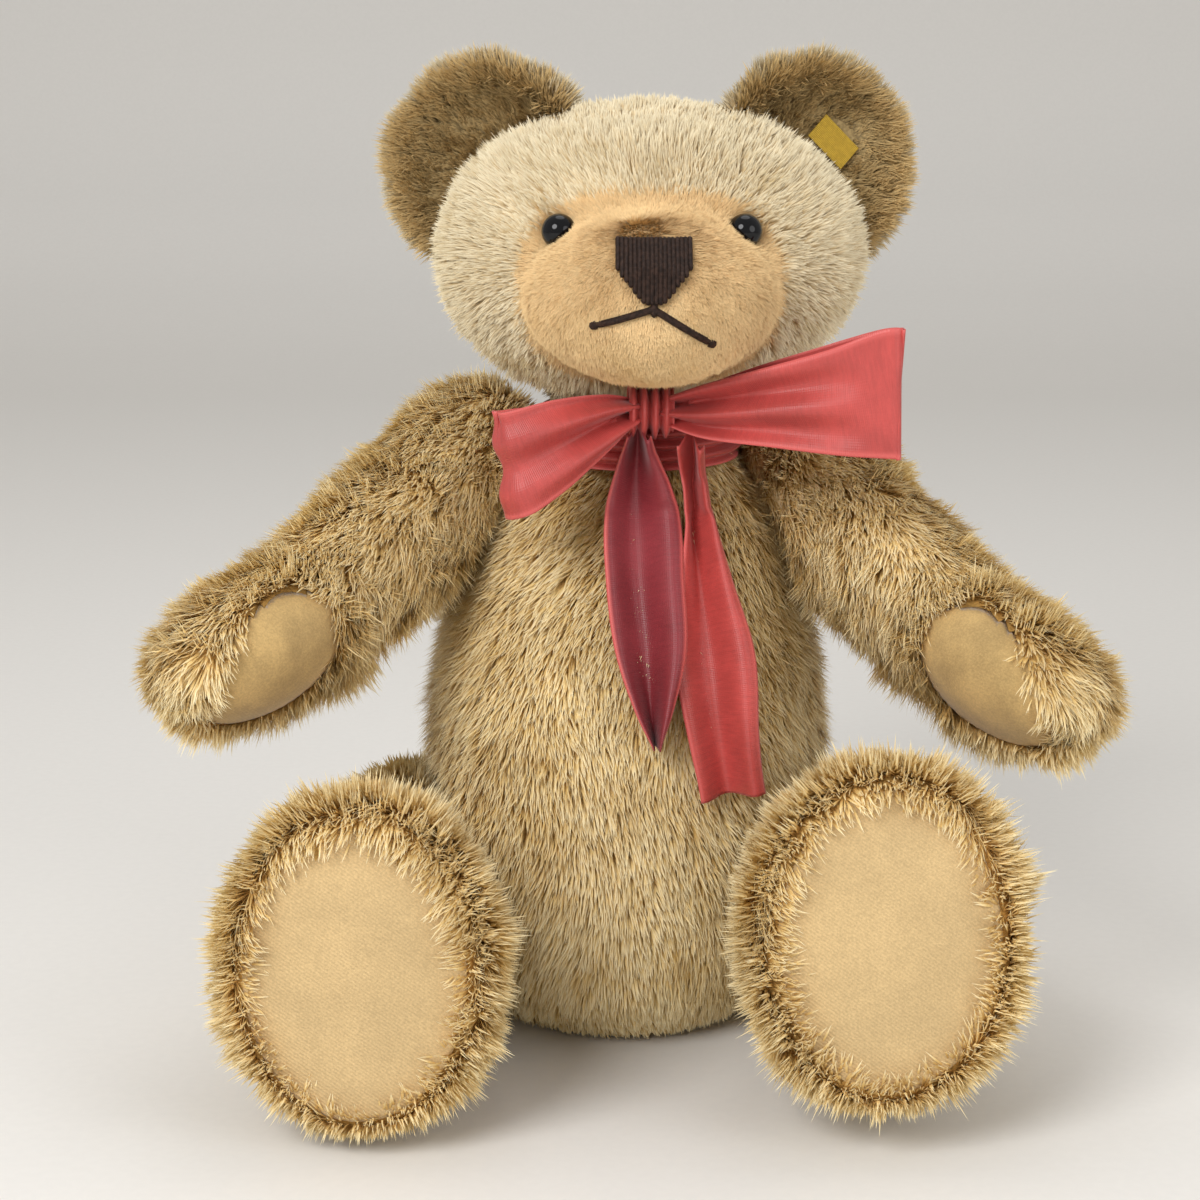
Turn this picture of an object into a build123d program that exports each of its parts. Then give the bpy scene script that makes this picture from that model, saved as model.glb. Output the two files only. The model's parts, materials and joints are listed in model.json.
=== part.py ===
from build123d import *
from collections import namedtuple
import math
import os

# A jointed mohair bear, sitting. Millimetres, +Z up, the bear faces -Y, its left side is +X.
# The origin is the centre of the flat seat, on the surface that the bear sits on.

os.makedirs("parts", exist_ok=True)

# ---------------------------------------------------------------- driving sizes
# cloth, stuffing and clearances
CLOTH = 1.5                 # mohair backing, felt or velour
SEAM_GAP = 0.2              # between two panels sewn edge to edge
FILL_GAP = 0.6              # stuffing to cloth
JOINT_GAP = 0.3             # between the two cloth faces of a joint
REST_GAP = 0.3              # between soft pieces that lie on each other
RUN_CLEAR = 0.3             # around a joint pin, all round

# torso: round about a leaning axis, cut flat for the seat and the neck
TORSO_LEAN_BACK = 4.0       # degrees
TORSO_LEAN_LEFT = 2.5
TORSO_RADIUS = 71.0         # at the belly
TORSO_NECK = 216.0          # height of the neck joint along the axis
NECK_LAND = 31.0            # radius of the flat neck end of torso and head

# head
HEAD_CENTRE = Vector(12.0, 2.0, 274.0)
HEAD_HALF_WIDTH = 71.0
HEAD_HALF_HEIGHT = 50.0
HEAD_HALF_DEPTH = 62.0
MUZZLE_HALF_WIDTH = 41.0
MUZZLE_TIP = 99.0           # from the head's centre to the tip of the nose cloth
MUZZLE_DROP = 10.0          # muzzle's axis below the head's centre
NECK_STUB = 24.0            # height of the neck stub above the joint

EAR_RADIUS = 33.0
EAR_DISH = 58.0             # radius of the hollow in an ear
EAR_THICK = 4.0             # two layers of mohair
TAG_LENGTH, TAG_WIDTH, TAG_THICK = 17.0, 10.0, 0.6
EYE_RADIUS = 5.8
EYE_SPREAD = 30.5           # from the middle of the face
EYE_RISE = 11.0             # above the head's centre
SHANK_WIRE = 1.2
SHANK_LENGTH = 16.0
NOSE_WIDTH, NOSE_HEIGHT = 24.0, 20.0
NOSE_THICK = 1.6
MOUTH_THREAD = 2.2

# joints: a board disc and a steel washer on each side, one cotter pin through them
DISC_THICK = 3.0
WASHER_THICK = 1.0
WASHER_RADIUS = 8.0
NECK_DISC_RADIUS = 25.0
SHOULDER_DISC_RADIUS = 15.0
HIP_DISC_RADIUS = 19.0
PIN_WIRE = 1.2              # width of one leg of the pin
PIN_DEPTH = 2.2             # the other way across a leg
PIN_SPLIT = 0.2             # between the two legs
PIN_EYE_RADIUS = 2.8
PIN_CURL_RADIUS = 3.0

# shoulders and arms
SHOULDER_TILT = 35.0        # the joint's axis above the horizontal
SHOULDER_HEIGHT = 186.0     # joint's centre along the torso's axis
SHOULDER_REACH = 45.0       # joint's centre from the torso's axis
SHOULDER_POCKET = 28.0      # radius of the flat pressed into the torso
ARM_LENGTH = 150.0          # shoulder pin to paw tip
ARM_HALF_WIDTH = 27.5
ARM_HALF_THICK = 25.0
ARM_SWING = {"right": 40.0, "left": 44.0}       # forward from hanging
PAD_HALF_LENGTH, PAD_HALF_WIDTH = 27.0, 20.0

# hips and legs
HIP_HEIGHT = 46.0
HIP_FORWARD = 2.0
HIP_REACH = 54.0
HIP_POCKET = 46.0
HIP_SPLAY = 3.0
LEG_LENGTH = 146.0          # hip pin to sole
LEG_HALF_HEIGHT = 36.0      # at the thigh
LEG_HALF_THICK = 29.0
FOOT_HALF_HEIGHT = 53.0
FOOT_HALF_WIDTH = 43.0
SOLE_HALF_HEIGHT = 50.0
SOLE_HALF_WIDTH = 37.5
LEG_RAISE = {"right": 2.0, "left": 8.0}         # degrees above the horizontal

# growler
GROWLER_RADIUS, GROWLER_LENGTH, GROWLER_WALL = 24.0, 56.0, 1.2
GROWLER_HEIGHT = 95.0       # its middle along the torso's axis
WEIGHT_RADIUS, WEIGHT_THICK = 15.0, 8.0
BELLOWS_RADIUS, BELLOWS_FOLDS = 19.0, 6

# ribbon bow
RIBBON_WIDTH = 38.0
RIBBON_THICK = 0.8
KNOT_RADIUS = 8.0
BAND_HALF_WIDTH = 35.0      # the ribbon round the neck, a loose oval
BAND_HALF_DEPTH = 43.0
BAND_FORWARD = 9.0
BAND_BELOW, BAND_ABOVE = 16.0, 5.0      # of the neck joint

SIDES = {"right": -1, "left": 1}

# ---------------------------------------------------------------- frames
Joint = namedtuple("Joint", "centre out along up disc_radius pocket")
Section = namedtuple("Section", "along up out half_up half_out")

TORSO_UP = Vector(
    math.tan(math.radians(TORSO_LEAN_LEFT)), math.tan(math.radians(TORSO_LEAN_BACK)), 1
).normalized()
TORSO_AXIS = Axis((0, 0, 0), TORSO_UP)
TORSO_SIDE = (Vector(0, -1, 0).cross(TORSO_UP) * -1).normalized()
TORSO_BACK = TORSO_UP.cross(TORSO_SIDE)
TORSO_SECTION = Plane(origin=(0, 0, 0), x_dir=TORSO_BACK, z_dir=TORSO_BACK.cross(TORSO_UP))


def torso_point(reach, sign, height, forward=0):
    """Point beside the torso's axis, at a height along it."""
    return TORSO_UP * height + TORSO_SIDE * (sign * reach) - TORSO_BACK * forward


def shoulder(side):
    sign = SIDES[side]
    tilt = math.radians(SHOULDER_TILT)
    out = TORSO_SIDE * (sign * math.cos(tilt)) + TORSO_UP * math.sin(tilt)
    down = TORSO_SIDE * (sign * math.sin(tilt)) - TORSO_UP * math.cos(tilt)
    swing = math.radians(ARM_SWING[side])
    along = down * math.cos(swing) - TORSO_BACK * math.sin(swing)
    up = out.cross(along) * -sign
    centre = torso_point(SHOULDER_REACH, sign, SHOULDER_HEIGHT)
    return Joint(centre, out, along, up, SHOULDER_DISC_RADIUS, SHOULDER_POCKET)


def hip(side):
    sign = SIDES[side]
    splay, rise = math.radians(HIP_SPLAY), math.radians(LEG_RAISE[side])
    out = Vector(sign * math.cos(splay), math.sin(splay), 0)
    level = Vector(sign * math.sin(splay), -math.cos(splay), 0)
    along = level * math.cos(rise) + Vector(0, 0, 1) * math.sin(rise)
    up = out.cross(along) * -sign
    centre = torso_point(HIP_REACH, sign, HIP_HEIGHT, HIP_FORWARD)
    return Joint(centre, out, along, up, HIP_DISC_RADIUS, HIP_POCKET)


NECK = Joint(TORSO_UP * TORSO_NECK, TORSO_UP, TORSO_BACK * -1, TORSO_SIDE, NECK_DISC_RADIUS, TORSO_RADIUS)
SHOULDERS = {side: shoulder(side) for side in SIDES}
HIPS = {side: hip(side) for side in SIDES}
LIMB_JOINTS = [*SHOULDERS.values(), *HIPS.values()]
TORSO = Joint(Vector(0, 0, 0), TORSO_SIDE, TORSO_UP, TORSO_BACK, 0, 0)
HEAD = Joint(HEAD_CENTRE, Vector(1, 0, 0), Vector(0, -1, 0), Vector(0, 0, 1), 0, 0)


def joint_plane(joint, out=0.0):
    """Plane across a joint's axis, at a distance out of its middle."""
    return Plane(origin=joint.centre + joint.out * out, x_dir=joint.along, z_dir=joint.out)


def place(joint, along, up, out):
    return joint.centre + joint.along * along + joint.up * up + joint.out * out


# the stack along a joint's axis, the same on both sides of it
CLOTH_FACE = JOINT_GAP / 2
DISC_FACE = CLOTH_FACE + CLOTH
WASHER_FACE = DISC_FACE + DISC_THICK
STACK_END = WASHER_FACE + WASHER_THICK
PIN_HALF_WIDTH = PIN_WIRE + PIN_SPLIT / 2
PIN_HOLE = math.hypot(PIN_HALF_WIDTH, PIN_DEPTH / 2) + RUN_CLEAR
CURL_START = STACK_END + 1.2
CURL_REACH = PIN_SPLIT / 2 + PIN_WIRE + 2 * PIN_CURL_RADIUS
CURL_END = CURL_START + PIN_CURL_RADIUS + PIN_WIRE / 2
EYE_CENTRE = STACK_END + PIN_EYE_RADIUS + PIN_WIRE / 2
EYE_END = EYE_CENTRE + PIN_EYE_RADIUS + PIN_WIRE / 2


# ---------------------------------------------------------------- helper solids
def ellipse_loft(frame, sections, inset=0.0, open_end=0.0):
    """Soft body through elliptical sections, its surface moved in by inset.

    open_end runs the last section on by that much instead of drawing it in.
    """
    first, last = sections[0].along, sections[-1].along
    with BuildPart() as body:
        for section in sections:
            along = max(section.along, first + inset)
            if section.along == last:
                along = last + open_end if open_end else last - inset
            origin = place(frame, along, section.up, section.out)
            with BuildSketch(Plane(origin=origin, x_dir=frame.up, z_dir=frame.along)):
                Ellipse(section.half_up - inset, section.half_out - inset)
        loft()
    return body.part


# share of the torso's height, share of its radius
TORSO_SHAPE = [(-0.04, 0.45), (0, 0.66), (0.065, 0.82), (0.16, 0.93), (0.28, 0.985), (0.41, 1.0), (0.53, 0.985),
               (0.64, 0.93), (0.74, 0.84), (0.84, 0.72), (0.925, 0.58), (0.99, 0.46), (1.04, 0.36)]
TORSO_SECTIONS = [
    Section(height * TORSO_NECK, 0, 0, width * TORSO_RADIUS, width * TORSO_RADIUS)
    for height, width in TORSO_SHAPE
]


def joint_cylinder(joint, radius, start, stop):
    """Round bar on a joint's axis, from start to stop out of its middle."""
    with BuildPart() as bar:
        with BuildSketch(joint_plane(joint, start)):
            Circle(radius)
        extrude(amount=stop - start)
    return bar.part


def torso_body(inset):
    """The torso between its flat seat and flat neck, pressed flat at the limbs."""
    grown = max(inset, 0)
    round_body = ellipse_loft(TORSO, TORSO_SECTIONS, inset)
    with BuildPart() as body:
        add(round_body)
        split(bisect_by=Plane.XY.offset(grown), keep=Keep.TOP)
        for joint in [NECK, *LIMB_JOINTS]:
            pocket = joint_cylinder(joint, joint.pocket + grown, -CLOTH_FACE - grown, 2 * TORSO_RADIUS)
            add(pocket, mode=Mode.SUBTRACT)
    return body.part


def body_cavities(joint):
    """Room in the torso's stuffing for a joint's disc, washer and curled pin legs."""
    with BuildPart() as room:
        add(joint_cylinder(joint, joint.disc_radius + FILL_GAP, -WASHER_FACE - FILL_GAP, -CLOTH_FACE))
        add(joint_cylinder(joint, CURL_REACH + 1, -CURL_END - 1, -CLOTH_FACE))
    return room.part


def limb_cavities(joint):
    """Room in a limb's stuffing for a joint's disc, washer and pin eye."""
    with BuildPart() as room:
        add(joint_cylinder(joint, joint.disc_radius + FILL_GAP, CLOTH_FACE, WASHER_FACE + FILL_GAP))
        add(joint_cylinder(joint, WASHER_RADIUS + FILL_GAP, CLOTH_FACE, EYE_END + FILL_GAP))
    return room.part


def cotter_pin(joint):
    """Eye, two legs and two curls of flat wire, drawn in a plane through the joint's axis."""
    leg = (PIN_SPLIT + PIN_WIRE) / 2
    eye_foot = EYE_CENTRE - math.sqrt(PIN_EYE_RADIUS**2 - leg**2)
    opening = math.degrees(math.asin(leg / PIN_EYE_RADIUS))
    with BuildPart() as pin:
        with BuildSketch(Plane(origin=joint.centre, x_dir=joint.along, z_dir=joint.along.cross(joint.out))):
            with BuildLine():
                CenterArc((0, EYE_CENTRE), PIN_EYE_RADIUS, -90 + opening, 360 - 2 * opening)
            trace(line_width=PIN_WIRE)
            for sign in (-1, 1):
                with BuildLine():
                    Line((sign * leg, eye_foot), (sign * leg, -CURL_START))
                    ThreePointArc(
                        (sign * leg, -CURL_START),
                        (sign * (leg + PIN_CURL_RADIUS), -CURL_START - PIN_CURL_RADIUS),
                        (sign * (leg + 2 * PIN_CURL_RADIUS), -CURL_START),
                    )
                trace(line_width=PIN_WIRE)
        extrude(amount=PIN_DEPTH / 2, both=True)
    return pin.part


# ---------------------------------------------------------------- torso
torso_outer = torso_body(0)
torso_inner = torso_body(CLOTH)
torso_fill = torso_body(CLOTH + FILL_GAP)
ALL_JOINTS = [NECK, *LIMB_JOINTS]

with BuildPart() as torso_cover:
    add(torso_outer)
    add(torso_inner, mode=Mode.SUBTRACT)
    for joint in ALL_JOINTS:
        add(joint_cylinder(joint, PIN_HOLE, -DISC_FACE - 1, CLOTH_FACE), mode=Mode.SUBTRACT)
torso_cover.part.label = "torso_cover"
export_step(torso_cover.part, "parts/torso_cover.step")

growler_plane = Plane(origin=TORSO_UP * (GROWLER_HEIGHT - GROWLER_LENGTH / 2), x_dir=TORSO_SIDE, z_dir=TORSO_UP)
growler_room = joint_cylinder(
    Joint(growler_plane.origin, TORSO_UP, TORSO_BACK, TORSO_SIDE, 0, 0),
    GROWLER_RADIUS + FILL_GAP, -FILL_GAP, GROWLER_LENGTH + FILL_GAP,
)
cavities = [body_cavities(joint) for joint in ALL_JOINTS]

with BuildPart() as torso_stuffing:
    add(torso_fill)
    add(growler_room, mode=Mode.SUBTRACT)
    for cavity in cavities:
        add(cavity, mode=Mode.SUBTRACT)
torso_stuffing.part.label = "torso_stuffing"
export_step(torso_stuffing.part, "parts/torso_stuffing.step")

BODY_DISCS = {
    "neck": NECK,
    "right_shoulder": SHOULDERS["right"],
    "left_shoulder": SHOULDERS["left"],
    "right_hip": HIPS["right"],
    "left_hip": HIPS["left"],
}
for name, joint in BODY_DISCS.items():
    with BuildPart() as body_disc:
        with BuildSketch(joint_plane(joint, -DISC_FACE)):
            Circle(joint.disc_radius)
            Circle(PIN_HOLE, mode=Mode.SUBTRACT)
        extrude(amount=-DISC_THICK)
    body_disc.part.label = f"{name}_body_disc"
    export_step(body_disc.part, f"parts/{name}_body_disc.step")

with BuildPart() as body_washers:
    for joint in ALL_JOINTS:
        with BuildSketch(joint_plane(joint, -WASHER_FACE)):
            Circle(WASHER_RADIUS)
            Circle(PIN_HOLE, mode=Mode.SUBTRACT)
        extrude(amount=-WASHER_THICK)
body_washers.part.label = "body_washers"
export_step(body_washers.part, "parts/body_washers.step")

# growler: a card can with a perforated lid, and in it a weight on a paper bellows
with BuildPart() as growler_can:
    with BuildSketch(growler_plane):
        Circle(GROWLER_RADIUS)
    extrude(amount=GROWLER_LENGTH)
    with BuildSketch(growler_plane.offset(GROWLER_WALL)):
        Circle(GROWLER_RADIUS - GROWLER_WALL)
    extrude(amount=GROWLER_LENGTH, mode=Mode.SUBTRACT)
growler_can.part.label = "growler_can"
export_step(growler_can.part, "parts/growler_can.step")

lid_plane = growler_plane.offset(GROWLER_LENGTH - 2 * GROWLER_WALL)
with BuildPart() as growler_lid:
    with BuildSketch(lid_plane):
        Circle(GROWLER_RADIUS - GROWLER_WALL - SEAM_GAP)
        with PolarLocations(GROWLER_RADIUS / 2, 8):
            Circle(1.5, mode=Mode.SUBTRACT)
    extrude(amount=2 * GROWLER_WALL)
growler_lid.part.label = "growler_lid"
export_step(growler_lid.part, "parts/growler_lid.step")

with BuildPart() as growler_weight:
    with BuildSketch(growler_plane.offset(GROWLER_WALL + 0.1)):
        Circle(WEIGHT_RADIUS)
    extrude(amount=WEIGHT_THICK)
growler_weight.part.label = "growler_weight"
export_step(growler_weight.part, "parts/growler_weight.step")

bellows_start = GROWLER_WALL + WEIGHT_THICK + 0.2
bellows_length = GROWLER_LENGTH - 2 * GROWLER_WALL - 0.1 - bellows_start
bellows_pitch = bellows_length / BELLOWS_FOLDS
with BuildPart() as growler_bellows:
    with BuildSketch(TORSO_SECTION):
        base = GROWLER_HEIGHT - GROWLER_LENGTH / 2 + bellows_start
        folds = [(0, base)]
        for fold in range(BELLOWS_FOLDS):
            folds.append((BELLOWS_RADIUS - 4, base + fold * bellows_pitch))
            folds.append((BELLOWS_RADIUS, base + (fold + 0.5) * bellows_pitch))
        folds += [(BELLOWS_RADIUS - 4, base + bellows_length), (0, base + bellows_length)]
        with BuildLine():
            Polyline(*folds, close=True)
        make_face()
    revolve(axis=TORSO_AXIS)
growler_bellows.part.label = "growler_bellows"
export_step(growler_bellows.part, "parts/growler_bellows.step")


# ---------------------------------------------------------------- head
def egg(half_up, half_out, half_along, steps, up=0.0, out=0.0):
    """Sections of an ellipsoid, at the named shares of its half length."""
    rings = []
    for step in steps:
        share = math.sqrt(1 - step**2)
        rings.append(Section(step * half_along, up, out, half_up * share, half_out * share))
    return rings


HEAD_SECTIONS = egg(
    HEAD_HALF_HEIGHT, HEAD_HALF_WIDTH, HEAD_HALF_DEPTH,
    (-0.985, -0.9, -0.7, -0.4, 0, 0.4, 0.7, 0.9, 0.985),
)
# share of the muzzle's length, share of its half width, share of its half height
MUZZLE_SHAPE = [(0.3, 1.0, 0.95), (0.5, 1.0, 0.98), (0.66, 0.94, 0.94), (0.8, 0.77, 0.84),
                (0.91, 0.52, 0.62), (0.975, 0.3, 0.36)]
MUZZLE_HALF_HEIGHT = 29.0
MUZZLE_SECTIONS = [
    Section(length * MUZZLE_TIP, -MUZZLE_DROP, 0, height * MUZZLE_HALF_HEIGHT, width * MUZZLE_HALF_WIDTH)
    for length, width, height in MUZZLE_SHAPE
]


def head_body(inset):
    """Head, muzzle and neck stub in one, the surface moved in by inset."""
    skull = ellipse_loft(HEAD, HEAD_SECTIONS, inset)
    muzzle = ellipse_loft(HEAD, MUZZLE_SECTIONS, inset)
    foot = CLOTH_FACE + max(inset, 0)
    stub = joint_cylinder(NECK, NECK_LAND - inset, foot, NECK_STUB)
    below = joint_cylinder(NECK, HEAD_HALF_WIDTH, foot - 30, foot)
    with BuildPart() as body:
        add(skull)
        add(muzzle)
        add(stub)
        add(below, mode=Mode.SUBTRACT)
    return body.part


def face_zone(grow):
    """Prism along Y that cuts the short-pile face insert out of the head cover."""
    half = MUZZLE_HALF_WIDTH + grow
    top, bottom = EYE_RISE + 9 + grow, -MUZZLE_DROP - MUZZLE_HALF_HEIGHT + 1 - grow
    with BuildPart() as zone:
        with BuildSketch(Plane(origin=HEAD_CENTRE, x_dir=(1, 0, 0), z_dir=(0, -1, 0))):
            with Locations((0, (top + bottom) / 2)):
                RectangleRounded(2 * half, top - bottom, 0.42 * (top - bottom))
        extrude(amount=2 * MUZZLE_TIP)
        with BuildSketch(Plane(origin=HEAD_CENTRE, x_dir=(1, 0, 0), z_dir=(0, -1, 0))):
            Rectangle(4 * half, 4 * half)
        extrude(amount=0.35 * HEAD_HALF_DEPTH - grow, mode=Mode.SUBTRACT)
    return zone.part


def eye_centre(sign):
    """Middle of an eye, on the surface of the face."""
    across, rise = EYE_SPREAD / HEAD_HALF_WIDTH, EYE_RISE / HEAD_HALF_HEIGHT
    forward = HEAD_HALF_DEPTH * math.sqrt(1 - across**2 - rise**2)
    return HEAD_CENTRE + Vector(sign * EYE_SPREAD, -forward - 1.0, EYE_RISE)


def eye_room(sign, radius, wire):
    """Ball of the eye and the straight run of its shank, with clearance."""
    with BuildPart() as room:
        with Locations(eye_centre(sign)):
            Sphere(radius)
        with BuildSketch(Plane(origin=eye_centre(sign), x_dir=(1, 0, 0), z_dir=(0, 1, 0))):
            Circle(wire)
        extrude(amount=EYE_RADIUS + SHANK_LENGTH + 1)
    return room.part


head_outer, head_inner = head_body(0), head_body(CLOTH)
head_fill = head_body(CLOTH + FILL_GAP)
eye_rooms = [eye_room(sign, EYE_RADIUS + SEAM_GAP, 3 * SHANK_WIRE) for sign in SIDES.values()]

with BuildPart() as head_cover:
    add(head_outer)
    add(head_inner, mode=Mode.SUBTRACT)
    add(face_zone(SEAM_GAP), mode=Mode.SUBTRACT)
    add(joint_cylinder(NECK, PIN_HOLE, -1, DISC_FACE + 1), mode=Mode.SUBTRACT)
    for room in eye_rooms:
        add(room, mode=Mode.SUBTRACT)
head_cover.part.label = "head_cover"
export_step(head_cover.part, "parts/head_cover.step")

with BuildPart() as muzzle_cover:
    add(head_outer)
    add(head_inner, mode=Mode.SUBTRACT)
    add(face_zone(0), mode=Mode.INTERSECT)
    for room in eye_rooms:
        add(room, mode=Mode.SUBTRACT)
muzzle_cover.part.label = "muzzle_cover"
export_step(muzzle_cover.part, "parts/muzzle_cover.step")

with BuildPart() as head_stuffing:
    add(head_fill)
    add(limb_cavities(NECK), mode=Mode.SUBTRACT)
    for room in eye_rooms:
        add(room, mode=Mode.SUBTRACT)
head_stuffing.part.label = "head_stuffing"
export_step(head_stuffing.part, "parts/head_stuffing.step")

for side, sign in SIDES.items():
    with BuildPart() as eye:
        with Locations(eye_centre(sign)):
            Sphere(EYE_RADIUS)
    eye.part.label = f"{side}_eye"
    export_step(eye.part, f"parts/{side}_eye.step")

    # wire shank: a straight stem from the back of the eye to a small loop
    loop = 2.2
    with BuildPart() as shank:
        with BuildSketch(Plane(origin=eye_centre(sign), x_dir=(0, 1, 0), z_dir=(1, 0, 0))):
            with Locations((EYE_RADIUS + SHANK_LENGTH / 2 - loop, 0)):
                Rectangle(SHANK_LENGTH - 2 * loop + SHANK_WIRE, SHANK_WIRE)
            with Locations((EYE_RADIUS + SHANK_LENGTH - loop, 0)):
                Circle(loop)
                Circle(loop - SHANK_WIRE, mode=Mode.SUBTRACT)
        extrude(amount=SHANK_WIRE / 2, both=True)
        with Locations(eye_centre(sign)):
            Sphere(EYE_RADIUS + 0.05, mode=Mode.SUBTRACT)
    shank.part.label = f"{side}_eye_shank"
    export_step(shank.part, f"parts/{side}_eye_shank.step")

face_plane = Plane(origin=HEAD_CENTRE, x_dir=(1, 0, 0), z_dir=(0, -1, 0))
stitch_bed = ellipse_loft(HEAD, MUZZLE_SECTIONS, -SEAM_GAP)
stitch_top = ellipse_loft(HEAD, MUZZLE_SECTIONS, -SEAM_GAP - NOSE_THICK)
NOSE_TOP = MUZZLE_TIP * 0.11

with BuildPart() as nose_stitching:
    with BuildSketch(face_plane):
        with BuildLine():
            Polyline(
                (-0.5 * NOSE_WIDTH, NOSE_TOP),
                (0.5 * NOSE_WIDTH, NOSE_TOP),
                (0.47 * NOSE_WIDTH, NOSE_TOP - 0.5 * NOSE_HEIGHT),
                (0.12 * NOSE_WIDTH, NOSE_TOP - NOSE_HEIGHT),
                (-0.12 * NOSE_WIDTH, NOSE_TOP - NOSE_HEIGHT),
                (-0.47 * NOSE_WIDTH, NOSE_TOP - 0.5 * NOSE_HEIGHT),
                close=True,
            )
        make_face()
    extrude(amount=1.2 * MUZZLE_TIP)
    add(stitch_top, mode=Mode.INTERSECT)
    add(stitch_bed, mode=Mode.SUBTRACT)
    with BuildSketch(face_plane):
        Rectangle(4 * NOSE_WIDTH, 4 * NOSE_WIDTH)
    extrude(amount=0.7 * MUZZLE_TIP, mode=Mode.SUBTRACT)
nose_stitching.part.label = "nose_stitching"
export_step(nose_stitching.part, "parts/nose_stitching.step")

mouth_top = NOSE_TOP - NOSE_HEIGHT - SEAM_GAP - 0.75 * MOUTH_THREAD
with BuildPart() as mouth_stitching:
    with BuildSketch(face_plane):
        with BuildLine():
            Polyline((-18, mouth_top - 5), (0, mouth_top), (18, mouth_top - 11))
        trace(line_width=MOUTH_THREAD)
    extrude(amount=1.2 * MUZZLE_TIP)
    add(stitch_top, mode=Mode.INTERSECT)
    add(stitch_bed, mode=Mode.SUBTRACT)
    with BuildSketch(face_plane):
        Rectangle(4 * NOSE_WIDTH, 4 * NOSE_WIDTH)
    extrude(amount=0.6 * MUZZLE_TIP, mode=Mode.SUBTRACT)
mouth_stitching.part.label = "mouth_stitching"
export_step(mouth_stitching.part, "parts/mouth_stitching.step")

head_clear = ellipse_loft(HEAD, HEAD_SECTIONS, -REST_GAP)


def ear_plane(sign):
    """Middle of an ear on the head's upper corner: x along its base, z out of its hollow front."""
    centre = HEAD_CENTRE + Vector(sign * 53, 10, 29)
    normal = Vector(sign * 0.32, -0.93, 0.05).normalized()
    base = Vector(sign * 0.74, 0, -0.66)
    base = (base - normal * base.dot(normal)).normalized()
    return Plane(origin=centre, x_dir=base, z_dir=normal)


for side, sign in SIDES.items():
    with BuildPart() as ear:
        plane = ear_plane(sign)
        depth = EAR_DISH - math.sqrt(EAR_DISH**2 - EAR_RADIUS**2)
        half = 0.5
        with BuildSketch(Plane(origin=plane.origin, x_dir=plane.x_dir, z_dir=plane.y_dir * -1)):
            with BuildLine():
                rim = (EAR_RADIUS, depth)
                middle = (half * EAR_RADIUS, EAR_DISH - math.sqrt(EAR_DISH**2 - (half * EAR_RADIUS) ** 2))
                ThreePointArc((0, 0), middle, rim)
                Line(rim, (EAR_RADIUS, depth - EAR_THICK))
                ThreePointArc(
                    (EAR_RADIUS, depth - EAR_THICK), (middle[0], middle[1] - EAR_THICK), (0, -EAR_THICK)
                )
                Line((0, -EAR_THICK), (0, 0))
            make_face()
        revolve(axis=Axis(plane.origin, plane.z_dir))
        add(head_clear, mode=Mode.SUBTRACT)
    largest = ear.solids().sort_by(SortBy.VOLUME)[-1]
    with BuildPart() as ear_shell:
        add(largest)
    ear_shell.part.label = f"{side}_ear"
    export_step(ear_shell.part, f"parts/{side}_ear.step")

tag_ear = ear_plane(SIDES["left"])
tag_at = tag_ear.from_local_coords(Vector(2, 14, 4.4))
with BuildPart() as ear_tag:
    with BuildSketch(Plane(origin=tag_at, x_dir=tag_ear.x_dir, z_dir=tag_ear.z_dir)):
        Rectangle(TAG_LENGTH, TAG_WIDTH)
    extrude(amount=TAG_THICK)
ear_tag.part.label = "ear_tag"
export_step(ear_tag.part, "parts/ear_tag.step")


# ---------------------------------------------------------------- discs, washers and pins in head and limbs
def limb_joint_pieces(prefix, joint):
    with BuildPart() as disc:
        with BuildSketch(joint_plane(joint, DISC_FACE)):
            Circle(joint.disc_radius)
            Circle(PIN_HOLE, mode=Mode.SUBTRACT)
        extrude(amount=DISC_THICK)
    disc.part.label = f"{prefix}_disc"
    export_step(disc.part, f"parts/{prefix}_disc.step")

    with BuildPart() as washer:
        with BuildSketch(joint_plane(joint, WASHER_FACE)):
            Circle(WASHER_RADIUS)
            Circle(PIN_HOLE, mode=Mode.SUBTRACT)
        extrude(amount=WASHER_THICK)
    washer.part.label = f"{prefix}_washer"
    export_step(washer.part, f"parts/{prefix}_washer.step")

    pin = cotter_pin(joint)
    pin.label = f"{prefix}_cotter_pin"
    export_step(pin, f"parts/{prefix}_cotter_pin.step")


limb_joint_pieces("neck_head", NECK)
for side in SIDES:
    limb_joint_pieces(f"{side}_arm", SHOULDERS[side])
    limb_joint_pieces(f"{side}_leg", HIPS[side])

# ---------------------------------------------------------------- arms
# share of the arm's length, forward bend, distance out of the joint, half width and half thickness
ARM_SHAPE = [
    (-0.170, 0, 20, 0.30, 0.30),
    (-0.145, 0, 20, 0.62, 0.62),
    (-0.080, 0, 20, 0.92, 0.92),
    (0.060, 0, 20, 1.04, 1.04),
    (0.240, 0, 23, 1.02, 1.02),
    (0.430, 0, 28, 0.98, 0.96),
    (0.620, 1, 34, 0.96, 0.92),
    (0.780, 3, 40, 1.02, 0.94),
    (0.900, 5, 45, 0.90, 0.80),
    (0.970, 7, 48, 0.64, 0.56),
    (1.000, 8, 50, 0.32, 0.28),
]
ARM_SECTIONS = [
    Section(share * ARM_LENGTH, bend, out, wide * ARM_HALF_WIDTH, thick * ARM_HALF_THICK)
    for share, bend, out, wide, thick in ARM_SHAPE
]


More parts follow.
